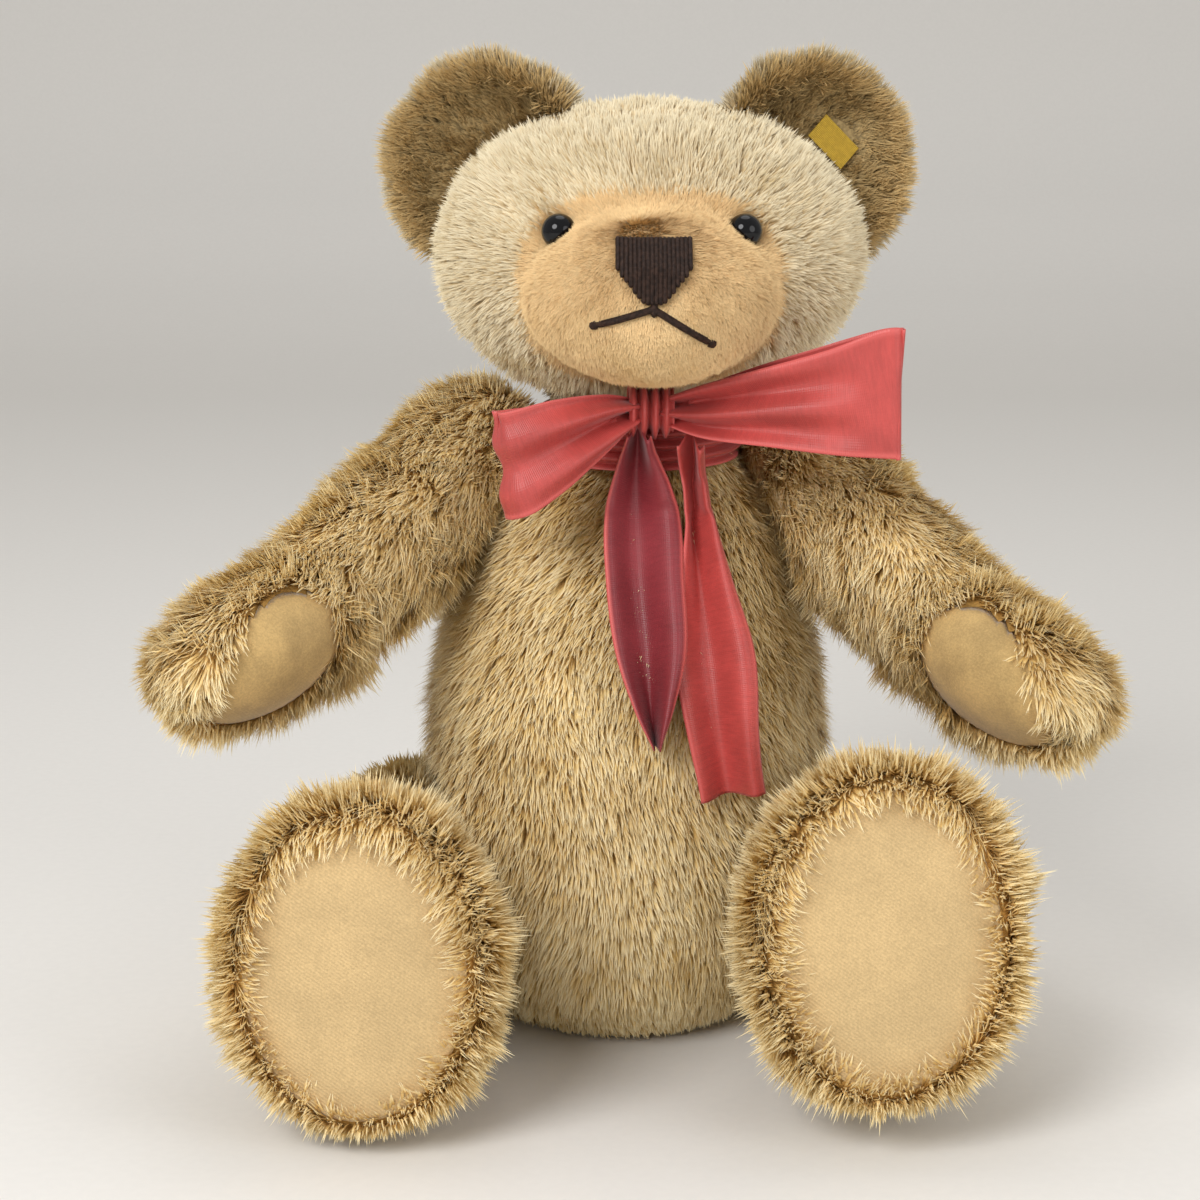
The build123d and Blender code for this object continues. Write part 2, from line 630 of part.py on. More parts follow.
def pad_zone(joint, grow):
    """Oval prism that cuts the paw pad out of the front of the paw."""
    centre = place(joint, 0.82 * ARM_LENGTH, 4, 42)
    facing = (joint.up * 0.8 - joint.out * 0.6).normalized()
    with BuildPart() as zone:
        with BuildSketch(Plane(origin=centre, x_dir=joint.along, z_dir=facing)):
            Ellipse(PAD_HALF_LENGTH + grow, PAD_HALF_WIDTH + grow)
        extrude(amount=2 * ARM_HALF_WIDTH)
    return zone.part


for side in SIDES:
    joint = SHOULDERS[side]
    outer = ellipse_loft(joint, ARM_SECTIONS)
    inner = ellipse_loft(joint, ARM_SECTIONS, CLOTH)
    fill = ellipse_loft(joint, ARM_SECTIONS, CLOTH + FILL_GAP)
    outer_cut = joint_cylinder(joint, 2 * ARM_LENGTH, -ARM_LENGTH, CLOTH_FACE)
    inner_cut = joint_cylinder(joint, 2 * ARM_LENGTH, -ARM_LENGTH, DISC_FACE)
    fill_cut = joint_cylinder(joint, 2 * ARM_LENGTH, -ARM_LENGTH, DISC_FACE + FILL_GAP)
    with BuildPart() as arm_hollow:
        add(inner)
        add(inner_cut, mode=Mode.SUBTRACT)

    with BuildPart() as arm_cover:
        add(outer)
        add(outer_cut, mode=Mode.SUBTRACT)
        add(arm_hollow.part, mode=Mode.SUBTRACT)
        add(pad_zone(joint, SEAM_GAP), mode=Mode.SUBTRACT)
        add(joint_cylinder(joint, PIN_HOLE, -1, DISC_FACE + 1), mode=Mode.SUBTRACT)
    arm_cover.part.label = f"{side}_arm_cover"
    export_step(arm_cover.part, f"parts/{side}_arm_cover.step")

    with BuildPart() as paw_pad:
        add(outer)
        add(arm_hollow.part, mode=Mode.SUBTRACT)
        add(pad_zone(joint, 0), mode=Mode.INTERSECT)
    paw_pad.part.label = f"{side}_paw_pad"
    export_step(paw_pad.part, f"parts/{side}_paw_pad.step")

    with BuildPart() as arm_stuffing:
        add(fill)
        add(fill_cut, mode=Mode.SUBTRACT)
        add(limb_cavities(joint), mode=Mode.SUBTRACT)
    arm_stuffing.part.label = f"{side}_arm_stuffing"
    export_step(arm_stuffing.part, f"parts/{side}_arm_stuffing.step")

# ---------------------------------------------------------------- legs
# share of the leg's length, rise, distance out of the joint, half height, half thickness
LEG_SHAPE = [
    (-0.235, 0, 23, 0.36 * LEG_HALF_HEIGHT, 0.36 * LEG_HALF_THICK),
    (-0.205, 0, 23, 0.66 * LEG_HALF_HEIGHT, 0.66 * LEG_HALF_THICK),
    (-0.110, 0, 23, 0.95 * LEG_HALF_HEIGHT, 0.95 * LEG_HALF_THICK),
    (0.070, 0, 24, 1.02 * LEG_HALF_HEIGHT, 1.04 * LEG_HALF_THICK),
    (0.270, 0, 28, 0.98 * LEG_HALF_HEIGHT, LEG_HALF_THICK),
    (0.480, 2, 29, LEG_HALF_HEIGHT, 1.1 * LEG_HALF_THICK),
    (0.660, 4, 25, 0.83 * FOOT_HALF_HEIGHT, 0.9 * FOOT_HALF_WIDTH),
    (0.830, 6, 22, FOOT_HALF_HEIGHT, FOOT_HALF_WIDTH),
    (0.940, 7, 22, FOOT_HALF_HEIGHT, 0.96 * FOOT_HALF_WIDTH),
    (1.000, 7, 22, SOLE_HALF_HEIGHT, SOLE_HALF_WIDTH),
]
LEG_SECTIONS = [
    Section(share * LEG_LENGTH, rise, out, half_up, half_out)
    for share, rise, out, half_up, half_out in LEG_SHAPE
]

for side in SIDES:
    joint = HIPS[side]
    reach = joint.pocket + 2
    outer = ellipse_loft(joint, LEG_SECTIONS)
    inner = ellipse_loft(joint, LEG_SECTIONS, CLOTH, open_end=1)
    fill = ellipse_loft(joint, LEG_SECTIONS, CLOTH + FILL_GAP)
    outer_cut = joint_cylinder(joint, reach, -LEG_LENGTH, CLOTH_FACE)
    inner_cut = joint_cylinder(joint, reach + CLOTH, -LEG_LENGTH, DISC_FACE)
    fill_cut = joint_cylinder(joint, reach + CLOTH + FILL_GAP, -LEG_LENGTH, DISC_FACE + FILL_GAP)
    with BuildPart() as leg_hollow:
        add(inner)
        add(inner_cut, mode=Mode.SUBTRACT)

    with BuildPart() as leg_cover:
        add(outer)
        add(outer_cut, mode=Mode.SUBTRACT)
        add(leg_hollow.part, mode=Mode.SUBTRACT)
        add(joint_cylinder(joint, PIN_HOLE, -1, DISC_FACE + 1), mode=Mode.SUBTRACT)
    leg_cover.part.label = f"{side}_leg_cover"
    export_step(leg_cover.part, f"parts/{side}_leg_cover.step")

    end = LEG_SECTIONS[-1]
    sole_plane = Plane(
        origin=place(joint, end.along, end.up, end.out), x_dir=joint.up, z_dir=joint.along
    )
    with BuildPart() as sole:
        with BuildSketch(sole_plane):
            Ellipse(end.half_up - CLOTH - SEAM_GAP, end.half_out - CLOTH - SEAM_GAP)
        extrude(amount=-CLOTH)
    sole.part.label = f"{side}_sole"
    export_step(sole.part, f"parts/{side}_sole.step")

    with BuildPart() as leg_stuffing:
        add(fill)
        add(fill_cut, mode=Mode.SUBTRACT)
        add(limb_cavities(joint), mode=Mode.SUBTRACT)
    leg_stuffing.part.label = f"{side}_leg_stuffing"
    export_step(leg_stuffing.part, f"parts/{side}_leg_stuffing.step")

# ---------------------------------------------------------------- ribbon bow
KNOT = Vector(12, -44, 225)


def band_oval(inset, start, stop):
    """Oval bar round the neck, as the ribbon lies, from start to stop above the neck joint."""
    plane = joint_plane(NECK, start)
    with BuildPart() as bar:
        with BuildSketch(plane):
            with Locations((BAND_FORWARD, 0)):
                Ellipse(BAND_HALF_DEPTH - inset, BAND_HALF_WIDTH - inset)
        extrude(amount=stop - start)
    return bar.part


torso_clear = torso_body(-REST_GAP)
with BuildPart() as bow_neck_band:
    add(band_oval(0, -BAND_BELOW, BAND_ABOVE))
    add(band_oval(RIBBON_THICK, -BAND_BELOW - 1, BAND_ABOVE + 1), mode=Mode.SUBTRACT)
    add(torso_clear, mode=Mode.SUBTRACT)
bow_neck_band.part.label = "bow_neck_band"
export_step(bow_neck_band.part, "parts/bow_neck_band.step")

with BuildPart() as bow_knot:
    with Locations(KNOT):
        Sphere(KNOT_RADIUS)
    add(band_oval(-REST_GAP, -2 * BAND_BELOW, 2 * BAND_BELOW), mode=Mode.SUBTRACT)
bow_knot.part.label = "bow_knot"
export_step(bow_knot.part, "parts/bow_knot.step")


def bow_loop(tip, bulge, root_half, tip_half):
    """Flattened loop of ribbon from the knot to tip, opening out towards the tip."""
    run = tip - KNOT
    length = run.length
    heading = run.normalized()
    width_way = (Vector(0, 0, 1) - heading * heading.Z).normalized()
    start = KNOT_RADIUS + REST_GAP
    with BuildPart() as loop:
        with BuildSketch(Plane(origin=KNOT, x_dir=heading, z_dir=width_way)):
            with BuildLine():
                Spline(
                    (start, -RIBBON_THICK), (0.6 * length, -bulge), (length - 1, 0), (0.6 * length, bulge),
                    (start, RIBBON_THICK),
                )
            trace(line_width=RIBBON_THICK)
        extrude(amount=RIBBON_WIDTH, both=True)
        with BuildSketch(Plane(origin=KNOT, x_dir=heading, z_dir=width_way.cross(heading))):
            with BuildLine():
                Polyline(
                    (0, -root_half), (length + 5, -tip_half), (length + 5, tip_half), (0, root_half), close=True
                )
            make_face()
        extrude(amount=3 * bulge, both=True, mode=Mode.INTERSECT)
    return loop.part


for name, tip, bulge, root_half, tip_half in (
    ("bow_left_loop", Vector(90, -84, 235), 8, 6, 19),
    ("bow_right_loop", Vector(-36, -76, 209), 8, 7, 17),
):
    loop_part = bow_loop(tip, bulge, root_half, tip_half)
    loop_part.label = name
    export_step(loop_part, f"parts/{name}.step")


def bow_tail(side_line, outline):
    """Ribbon tail: a strip that follows side_line down the chest, cut to an outline."""
    with BuildPart() as tail:
        with BuildSketch(Plane(origin=KNOT, x_dir=(0, 1, 0), z_dir=(1, 0, 0))):
            with BuildLine():
                Spline(*side_line)
            trace(line_width=RIBBON_THICK)
        extrude(amount=2 * RIBBON_WIDTH, both=True)
        with BuildSketch(Plane(origin=KNOT, x_dir=(1, 0, 0), z_dir=(0, -1, 0))):
            with BuildLine():
                Polyline(*outline, close=True)
            make_face()
        extrude(amount=2 * RIBBON_WIDTH, both=True, mode=Mode.INTERSECT)
    return tail.part


for name, side_line, outline in (
    (
        "bow_right_tail",
        [(-5.5, -7), (-22, -35), (-32, -75), (-39, -106)],
        [(-1, -7), (3, -7), (12, -50), (15, -100), (10, -105), (-10, -70), (-14, -35)],
    ),
    (
        "bow_left_tail",
        [(-5.5, -7), (-26, -35), (-38, -75), (-47, -131)],
        [(3.5, -7), (8, -7), (20, -55), (36, -80), (36, -125), (24, -131), (10, -105), (12, -60)],
    ),
):
    tail_part = bow_tail(side_line, outline)
    tail_part.label = name
    export_step(tail_part, f"parts/{name}.step")
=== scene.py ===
import json
import math

import bmesh
import bpy
import numpy as np
from bpy.props import FloatProperty, FloatVectorProperty, PointerProperty
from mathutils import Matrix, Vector
from mathutils.bvhtree import BVHTree

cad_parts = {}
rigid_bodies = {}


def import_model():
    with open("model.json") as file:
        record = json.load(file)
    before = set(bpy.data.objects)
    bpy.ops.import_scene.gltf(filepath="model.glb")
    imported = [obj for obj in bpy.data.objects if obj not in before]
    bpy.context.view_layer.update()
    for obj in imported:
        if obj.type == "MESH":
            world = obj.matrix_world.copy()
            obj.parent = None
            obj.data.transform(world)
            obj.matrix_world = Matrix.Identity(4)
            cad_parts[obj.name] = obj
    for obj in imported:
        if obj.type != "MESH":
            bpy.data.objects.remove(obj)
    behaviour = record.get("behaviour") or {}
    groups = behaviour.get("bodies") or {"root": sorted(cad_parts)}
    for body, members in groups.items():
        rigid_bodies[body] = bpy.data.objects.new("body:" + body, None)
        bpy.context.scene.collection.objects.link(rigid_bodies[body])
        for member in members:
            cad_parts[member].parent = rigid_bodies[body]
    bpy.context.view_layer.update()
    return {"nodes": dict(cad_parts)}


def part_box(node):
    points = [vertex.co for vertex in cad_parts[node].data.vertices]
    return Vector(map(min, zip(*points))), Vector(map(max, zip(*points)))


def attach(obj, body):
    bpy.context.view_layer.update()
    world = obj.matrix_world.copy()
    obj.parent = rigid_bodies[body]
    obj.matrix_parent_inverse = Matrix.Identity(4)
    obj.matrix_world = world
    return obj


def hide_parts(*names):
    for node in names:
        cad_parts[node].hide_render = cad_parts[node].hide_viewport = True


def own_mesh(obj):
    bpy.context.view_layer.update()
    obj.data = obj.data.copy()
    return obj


bl_info = {
    "name": "Jointed Teddy Bear",
    "version": (1, 0, 0),
    "blender": (4, 5, 0),
    "location": "3D View > Sidebar > Bear",
    "description": "Mohair, pads, face and ribbon of a jointed teddy bear",
    "category": "Add Mesh",
}

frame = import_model()
SIDES = {"right": -1, "left": 1}
BAKE = "OFBake"
HAIR_FLOOR = 0.0004
SKIN_FLOOR = 0.0006
BAND_HALF_WIDTH = 0.0085
BLADE_FACES = 3
PILE_FACES = 1


# ---------------------------------------------------------------- node building

class Wire:
    """One value in a node tree, with arithmetic that makes the nodes for it."""

    def __init__(self, tree, socket):
        self.tree = tree
        self.socket = socket

    def combine(self, operation, first, *rest):
        things = (first,) + rest
        vector = any(isinstance(t, (tuple, Vector)) for t in things)
        for thing in things:
            if isinstance(thing, Wire) and thing.socket.type in {"VECTOR", "RGBA"}:
                vector = True
        kind = "ShaderNodeVectorMath" if vector else "ShaderNodeMath"
        values = {}
        for place, thing in enumerate(things):
            if vector and isinstance(thing, (int, float)):
                thing = (thing, thing, thing)
            values[place] = thing
        return self.tree.node(kind, values, operation=operation)

    def __add__(self, other):
        return self.combine("ADD", self, other)

    def __radd__(self, other):
        return self.combine("ADD", other, self)

    def __sub__(self, other):
        return self.combine("SUBTRACT", self, other)

    def __rsub__(self, other):
        return self.combine("SUBTRACT", other, self)

    def __mul__(self, other):
        return self.combine("MULTIPLY", self, other)

    def __rmul__(self, other):
        return self.combine("MULTIPLY", other, self)

    def __truediv__(self, other):
        return self.combine("DIVIDE", self, other)

    def __rtruediv__(self, other):
        return self.combine("DIVIDE", other, self)

    def sine(self):
        return self.combine("SINE", self)

    def at_least(self, other):
        return self.combine("MAXIMUM", self, other)

    def at_most(self, other):
        return self.combine("MINIMUM", self, other)

    def part(self, axis):
        return self.tree.node("ShaderNodeSeparateXYZ", {0: self}, out=axis)

    def between(self, low, high, low_to=0.0, high_to=1.0):
        values = {"Value": self, "From Min": low, "From Max": high, "To Min": low_to, "To Max": high_to}
        return self.tree.node("ShaderNodeMapRange", values, interpolation_type="SMOOTHSTEP")


class Tree:
    """A node tree being built."""

    def __init__(self, tree):
        self.tree = tree

    def node(self, kind, values=None, out=0, **settings):
        made = self.tree.nodes.new(kind)
        for setting, value in settings.items():
            setattr(made, setting, value)
        for place, value in (values or {}).items():
            if isinstance(value, Wire):
                self.tree.links.new(value.socket, made.inputs[place])
            else:
                made.inputs[place].default_value = value
        return Wire(self, made.outputs[out]) if len(made.outputs) else made

    def mix(self, amount, first, second):
        first = first if isinstance(first, Wire) else (*first, 1.0)[:4]
        second = second if isinstance(second, Wire) else (*second, 1.0)[:4]
        return self.node("ShaderNodeMix", {0: amount, 6: first, 7: second}, out=2, data_type="RGBA")

    def noise(self, place, scale, detail=2.0, roughness=0.5, out=0):
        values = {"Vector": place, "Scale": scale, "Detail": detail, "Roughness": roughness}
        return self.node("ShaderNodeTexNoise", values, out=out)

    def objects(self):
        return self.node("ShaderNodeTexCoord", out="Object")

    def bump(self, height, strength, distance):
        return self.node("ShaderNodeBump", {"Height": height, "Strength": strength, "Distance": distance})


def new_material(name):
    material = bpy.data.materials.new(name)
    material.use_nodes = True
    material.node_tree.nodes.clear()
    return material, Tree(material.node_tree)


def surface(tree, **values):
    """Ends a material in a Principled surface with these sockets set or linked."""
    named = {key.replace("_", " "): value for key, value in values.items()}
    colour = named.get("Base Color")
    if isinstance(colour, tuple) and len(colour) == 3:
        named["Base Color"] = (*colour, 1.0)
    shader = tree.node("ShaderNodeBsdfPrincipled", named)
    tree.node("ShaderNodeOutputMaterial", {0: shader})


# ---------------------------------------------------------------- materials

def fur_material(name, root, middle, tip, dark, shine=0.5):
    """Hair: its colour runs from root to tip, and each hair is a little lighter or darker."""
    material, t = new_material(name)
    place = t.node("ShaderNodeUVMap", uv_map=BAKE)
    tone = place.part(0)
    along = place.part(1)
    lower = t.mix(along.between(0.0, 0.45), root, middle)
    hair = t.mix(along.between(0.4, 1.0), lower, tip)
    # tone also carries the painted shade, and on the crown the painted highlight, that the skins set in
    # their tint.
    shade = t.mix(tone.between(0.0, 0.5), dark, (1.0, 1.0, 1.0))
    colour = hair * shade * tone.between(0.5, 1.0, 1.0, 1.12)
    surface(t, Base_Color=colour, Roughness=shine, Specular_IOR_Level=0.35)
    return material


def cloth_skin(name, colour, deep):
    """Backing cloth under the hair."""
    material, t = new_material(name)
    place = t.objects()
    patch = t.noise(place, 55.0, 3.0)
    fine = t.noise(place, 900.0, 2.0)
    shade = t.mix(patch.between(0.35, 0.65), deep, colour)
    normal = t.bump(fine, 0.5, 0.0006)
    surface(t, Base_Color=shade * fine.between(0.3, 0.7, 0.75, 1.1), Roughness=0.9, Normal=normal,
            Specular_IOR_Level=0.15)
    return material


def felt(name, colour, worn, twill):
    """Felt or velour: fine fibres, soft patches of wear and a faint twill."""
    material, t = new_material(name)
    place = t.objects()
    x = place.part(0)
    y = place.part(1)
    z = place.part(2)
    patch = t.noise(place, 45.0, 4.0, 0.6)
    speck = t.noise(place, 1400.0, 2.0, 0.7)
    fibre = t.noise(place * (500.0, 500.0, 1500.0), 1.0, 3.0, 0.6)
    rib = ((x * 0.72 + y * 0.35 + z) * (math.tau / 0.0013)).sine()
    shade = t.mix(patch.between(0.35, 0.7), worn, colour)
    shade = shade * speck.between(0.3, 0.72, 0.86, 1.08) * rib.between(-1.0, 1.0, 1.0 - 0.07 * twill, 1.0)
    height = rib * (0.3 * twill) + fibre * 0.8 + speck * 0.5
    normal = t.bump(height, 0.45, 0.0004)
    surface(t, Base_Color=shade, Roughness=0.92, Normal=normal, Specular_IOR_Level=0.12,
            Sheen_Weight=0.25, Sheen_Roughness=0.5)
    return material


def satin(name, face, back, rim):
    """Ribbon: fine ribs across, silky, a deeper reverse and a paler rim along both edges, a painted
    highlight.
    """
    material, t = new_material(name)
    place = t.node("ShaderNodeUVMap", uv_map="Weave")
    across = place.part(0)
    along = place.part(1)
    body = t.objects()
    ribs = (along * (math.tau / 0.00062)).sine()
    warp = (across * (math.tau / 0.0009)).sine()
    cloud = t.noise(body, 38.0, 3.0, 0.55)
    streak = t.noise(place * (150.0, 900.0, 1.0), 1.0, 2.0, 0.6)
    side = t.node("ShaderNodeAttribute", out="Fac", attribute_name="reverse")
    colour = t.mix(side, face, back)
    colour = colour * cloud.between(0.3, 0.7, 0.86, 1.12) * streak.between(0.3, 0.7, 0.93, 1.06)
    # Paler rim along both edges of the ribbon: painted highlight.
    edge = t.node("ShaderNodeAttribute", out="Fac", attribute_name="edge")
    colour = t.mix(edge.between(0.86, 0.97), colour, rim)
    height = ribs * 0.6 + warp * 0.25 + streak * 0.6
    normal = t.bump(height, 0.35, 0.00015)
    surface(t, Base_Color=colour, Roughness=cloud.between(0.3, 0.7, 0.36, 0.5), Normal=normal,
            Specular_IOR_Level=0.5, Sheen_Weight=0.2, Sheen_Roughness=0.35)
    return material


def thread_material(name, colour, light):
    """Satin embroidery thread with a fine twist."""
    material, t = new_material(name)
    place = t.objects()
    twist = ((place.part(0) * 1.1 + place.part(2) * 2.3 + place.part(1)) * (math.tau / 0.0007)).sine()
    speck = t.noise(place, 900.0, 3.0)
    shade = t.mix(speck.between(0.35, 0.7), colour, light)
    surface(t, Base_Color=shade, Roughness=0.6, Normal=t.bump(twist * 0.5 + speck, 0.4, 0.0002),
            Specular_IOR_Level=0.22)
    return material


def glass_eye(name, black, rim_colour, centre, radius):
    """Black glass with a thin brown rim where it meets the cloth."""
    material, t = new_material(name)
    place = t.objects() - tuple(centre)
    depth = place.part(1) / radius
    speck = t.noise(t.objects(), 400.0, 2.0)
    rim = depth.between(-0.35, 0.05)
    colour = t.mix(rim, black, rim_colour)
    surface(t, Base_Color=colour * speck.between(0.3, 0.7, 0.9, 1.1),
            Roughness=speck.between(0.2, 0.8, 0.04, 0.08), Specular_IOR_Level=0.22, Coat_Weight=0.15,
            Coat_Roughness=0.02)
    return material


def woven_tape(name, colour, deep):
    material, t = new_material(name)
    place = t.objects()
    weave = (place.part(0) * (math.tau / 0.0008)).sine() * (place.part(2) * (math.tau / 0.0008)).sine()
    speck = t.noise(place, 700.0, 2.0)
    shade = t.mix(weave.between(-1.0, 1.0), deep, colour)
    surface(t, Base_Color=shade * speck.between(0.3, 0.7, 0.9, 1.08), Roughness=0.75,
            Normal=t.bump(weave, 0.5, 0.0002), Specular_IOR_Level=0.25)
    return material


def board(name, colour, deep):
    """Pressed fibre board."""
    material, t = new_material(name)
    place = t.objects()
    fibre = t.noise(place * (1.0, 1.0, 2.5), 380.0, 4.0, 0.7)
    patch = t.noise(place, 90.0, 2.0)
    shade = t.mix(fibre.between(0.35, 0.65), deep, colour) * patch.between(0.3, 0.7, 0.9, 1.06)
    surface(t, Base_Color=shade, Roughness=0.85, Normal=t.bump(fibre, 0.4, 0.0003), Specular_IOR_Level=0.2)
    return material


def metal(name, colour, rough, worn):
    """Plain metal with fine scratches and duller patches."""
    material, t = new_material(name)
    place = t.objects()
    scratch = t.noise(place * (1.0, 6.0, 1.0), 500.0, 3.0, 0.7)
    patch = t.noise(place, 120.0, 3.0)
    shade = t.mix(patch.between(0.4, 0.7), colour, worn)
    surface(t, Base_Color=shade, Metallic=1.0, Roughness=patch.between(0.3, 0.7, rough, rough + 0.25),
            Normal=t.bump(scratch, 0.2, 0.0001))
    return material


def plain_ground(name, colour):
    """Pale studio ground, as pale where it is mirrored as where it is seen."""
    material, t = new_material(name)
    place = t.objects()
    grain = t.noise(place, 260.0, 2.0)
    shade = t.mix(grain.between(0.3, 0.7), tuple(c * 0.985 for c in colour), colour)
    surface(t, Base_Color=shade, Roughness=0.9, Specular_IOR_Level=0.1)
    return material


# ---------------------------------------------------------------- sizes and colours

def eye_middle():
    low_l, high_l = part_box("left_eye")
    low_r, high_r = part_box("right_eye")
    return (Vector(low_l) + Vector(high_l) + Vector(low_r) + Vector(high_r)) / 4


def box_middle(node):
    low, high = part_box(node)
    return (Vector(low) + Vector(high)) / 2


EYES = eye_middle()
HEAD = Vector((EYES.x, 0.002, EYES.z - 0.011))
KNOT = box_middle("bow_knot")


def colour_property(name, description, default):
    return FloatVectorProperty(name=name, description=description, default=default, subtype="COLOR",
                               min=0.0, max=1.0)


def length_property(name, description, default):
    return FloatProperty(name=name, description=description, default=default, unit="LENGTH",
                         subtype="DISTANCE", min=0.0)


class MohairSettings(bpy.types.PropertyGroup):
    body_length: length_property("Body hair", "Length of the hair on torso, arms and legs", 0.0095)
    head_length: length_property("Head hair", "Length of the hair on the head", 0.0092)
    paw_length: length_property("Paw hair", "Length of the locks round pads and soles", 0.0145)
    pile_length: length_property("Face pile", "Length of the pile on muzzle and face", 0.0024)
    width: length_property("Hair width", "Width of one blade of hair", 0.00062)
    inset: length_property("Backing inset", "How far the backing lies inside the cover", 0.0008)
    root: colour_property("Root", "Colour at the root of the body hair", (0.60, 0.35, 0.10))
    middle: colour_property("Middle", "Colour half way along the body hair", (0.82, 0.60, 0.25))
    tip: colour_property("Tip", "Colour at the tip of the body hair", (0.94, 0.83, 0.55))
    pale_middle: colour_property("Head middle", "Colour half way along the head hair", (0.67, 0.51, 0.28))
    pale_tip: colour_property("Head tip", "Colour at the tip of the head hair", (0.82, 0.73, 0.52))
    pile: colour_property("Face", "Colour of the pile on muzzle and face", (0.74, 0.53, 0.27))
    # Colour inside the ears, darkened as painted shade in the hollow of the ear.
    painted_shade_inner_ear: colour_property("Ear", "Colour inside the ears", (0.40, 0.29, 0.135))


class PadSettings(bpy.types.PropertyGroup):
    thickness: length_property("Pad thickness", "Thickness of paw pads and soles", 0.0015)
    crown: length_property("Crown", "How far a pad swells in its middle", 0.0016)
    felt: colour_property("Paw felt", "Colour of the paw pads", (0.62, 0.42, 0.175))
    velour: colour_property("Sole velour", "Colour of the soles", (0.70, 0.50, 0.25))


class FaceSettings(bpy.types.PropertyGroup):
    thread: length_property("Nose thread", "Width of one stitch of the nose", 0.0015)
    mouth: length_property("Mouth thread", "Width of the mouth's thread", 0.0023)
    brown: colour_property("Thread", "Colour of nose and mouth", (0.015, 0.0075, 0.005))


class RibbonSettings(bpy.types.PropertyGroup):
    width: length_property("Ribbon width", "Width that the ribbon was woven to", 0.038)
    red: colour_property("Ribbon face", "Colour of the ribbon's right side", (0.50, 0.066, 0.058))
    reverse: colour_property("Ribbon reverse", "Colour of the ribbon's other side", (0.25, 0.028, 0.036))


class StageSettings(bpy.types.PropertyGroup):
    lens: FloatProperty(name="Lens", description="Focal length of the camera", default=75.0, unit="CAMERA")
    ground: colour_property("Ground", "Colour of floor and backdrop", (0.84, 0.82, 0.79))


# ---------------------------------------------------------------- meshes

def link_mesh(name, mesh):
    made = bpy.data.objects.new(name, mesh)
    bpy.context.scene.collection.objects.link(made)
    return made


def points_of(mesh):
    flat = np.empty(len(mesh.vertices) * 3)
    mesh.vertices.foreach_get("co", flat)
    return flat.reshape(-1, 3)


def normals_of(mesh):
    flat = np.empty(len(mesh.vertices) * 3)
    mesh.vertices.foreach_get("normal", flat)
    return flat.reshape(-1, 3)


def edges_of(mesh):
    flat = np.empty(len(mesh.edges) * 2, dtype=np.int64)
    mesh.edges.foreach_get("vertices", flat)
    return flat.reshape(-1, 2)


def settle(made):
    """Applies an object's modifiers and returns its plain mesh on it."""
    graph = bpy.context.evaluated_depsgraph_get()
    graph.update()
    plain = bpy.data.meshes.new_from_object(made.evaluated_get(graph), preserve_all_data_layers=True,
                                            depsgraph=graph)
    made.modifiers.clear()
    made.data = plain
    return made


def joined_nodes(name, nodes):
    work = bmesh.new()
    for node in nodes:
        work.from_mesh(frame["nodes"][node].data)
    bmesh.ops.remove_doubles(work, verts=work.verts, dist=0.000002)
    mesh = bpy.data.meshes.new(name)
    work.to_mesh(mesh)
    work.free()
    return link_mesh(name, mesh)


def keep_largest(mesh):
    """Drops every island but the one with the most points."""
    edges = edges_of(mesh)
    label = np.arange(len(mesh.vertices))
    while True:
        low = np.minimum(label[edges[:, 0]], label[edges[:, 1]])
        after = label.copy()
        np.minimum.at(after, edges[:, 0], low)
        np.minimum.at(after, edges[:, 1], low)
        after = after[after]
        if np.array_equal(after, label):
            break
        label = after
    names, counts = np.unique(label, return_counts=True)
    keep = label == names[np.argmax(counts)]
    work = bmesh.new()
    work.from_mesh(mesh)
    work.verts.ensure_lookup_table()
    lost = [work.verts[i] for i in np.flatnonzero(~keep)]
    bmesh.ops.delete(work, geom=lost, context="VERTS")
    work.to_mesh(mesh)
    work.free()


def smooth_points(mesh, rounds, amount=0.5):
    points = points_of(mesh)
    edges = edges_of(mesh)
    count = np.zeros(len(points))
    np.add.at(count, edges[:, 0], 1)
    np.add.at(count, edges[:, 1], 1)
    count = np.maximum(count, 1)[:, None]
    for turn in range(rounds):
        total = np.zeros_like(points)
        np.add.at(total, edges[:, 0], points[edges[:, 1]])
        np.add.at(total, edges[:, 1], points[edges[:, 0]])
        points += (total / count - points) * amount
    mesh.vertices.foreach_set("co", points.ravel())
    mesh.update()


def skin_of(name, nodes, voxel, inset, rounds=6):
    """One closed skin round several CAD nodes of a body, a little inside their faces."""
    made = joined_nodes(name, nodes)
    remesh = made.modifiers.new("Skin", "REMESH")
    remesh.mode = "VOXEL"
    remesh.voxel_size = voxel
    settle(made)
    keep_largest(made.data)
    smooth_points(made.data, rounds)
    mesh = made.data
    points = points_of(mesh) - normals_of(mesh) * inset
    points[:, 2] = np.maximum(points[:, 2], SKIN_FLOOR)
    mesh.vertices.foreach_set("co", points.ravel())
    mesh.update()
    mesh.shade_smooth()
    return made


def put_attribute(mesh, name, values):
    kind = "FLOAT" if values.ndim == 1 else "FLOAT_VECTOR"
    made = mesh.attributes.new(name, kind, "POINT")
    made.data.foreach_set("value" if values.ndim == 1 else "vector", values.ravel())


def unit(rows):
    return rows / np.maximum(np.linalg.norm(rows, axis=1, keepdims=True), 1e-9)


def tangent(rows, normals):
    rows = rows - normals * np.sum(rows * normals, axis=1, keepdims=True)
    return unit(rows)


def step(values, low, high):
    share = np.clip((values - low) / (high - low), 0.0, 1.0)
    return share * share * (3 - 2 * share)


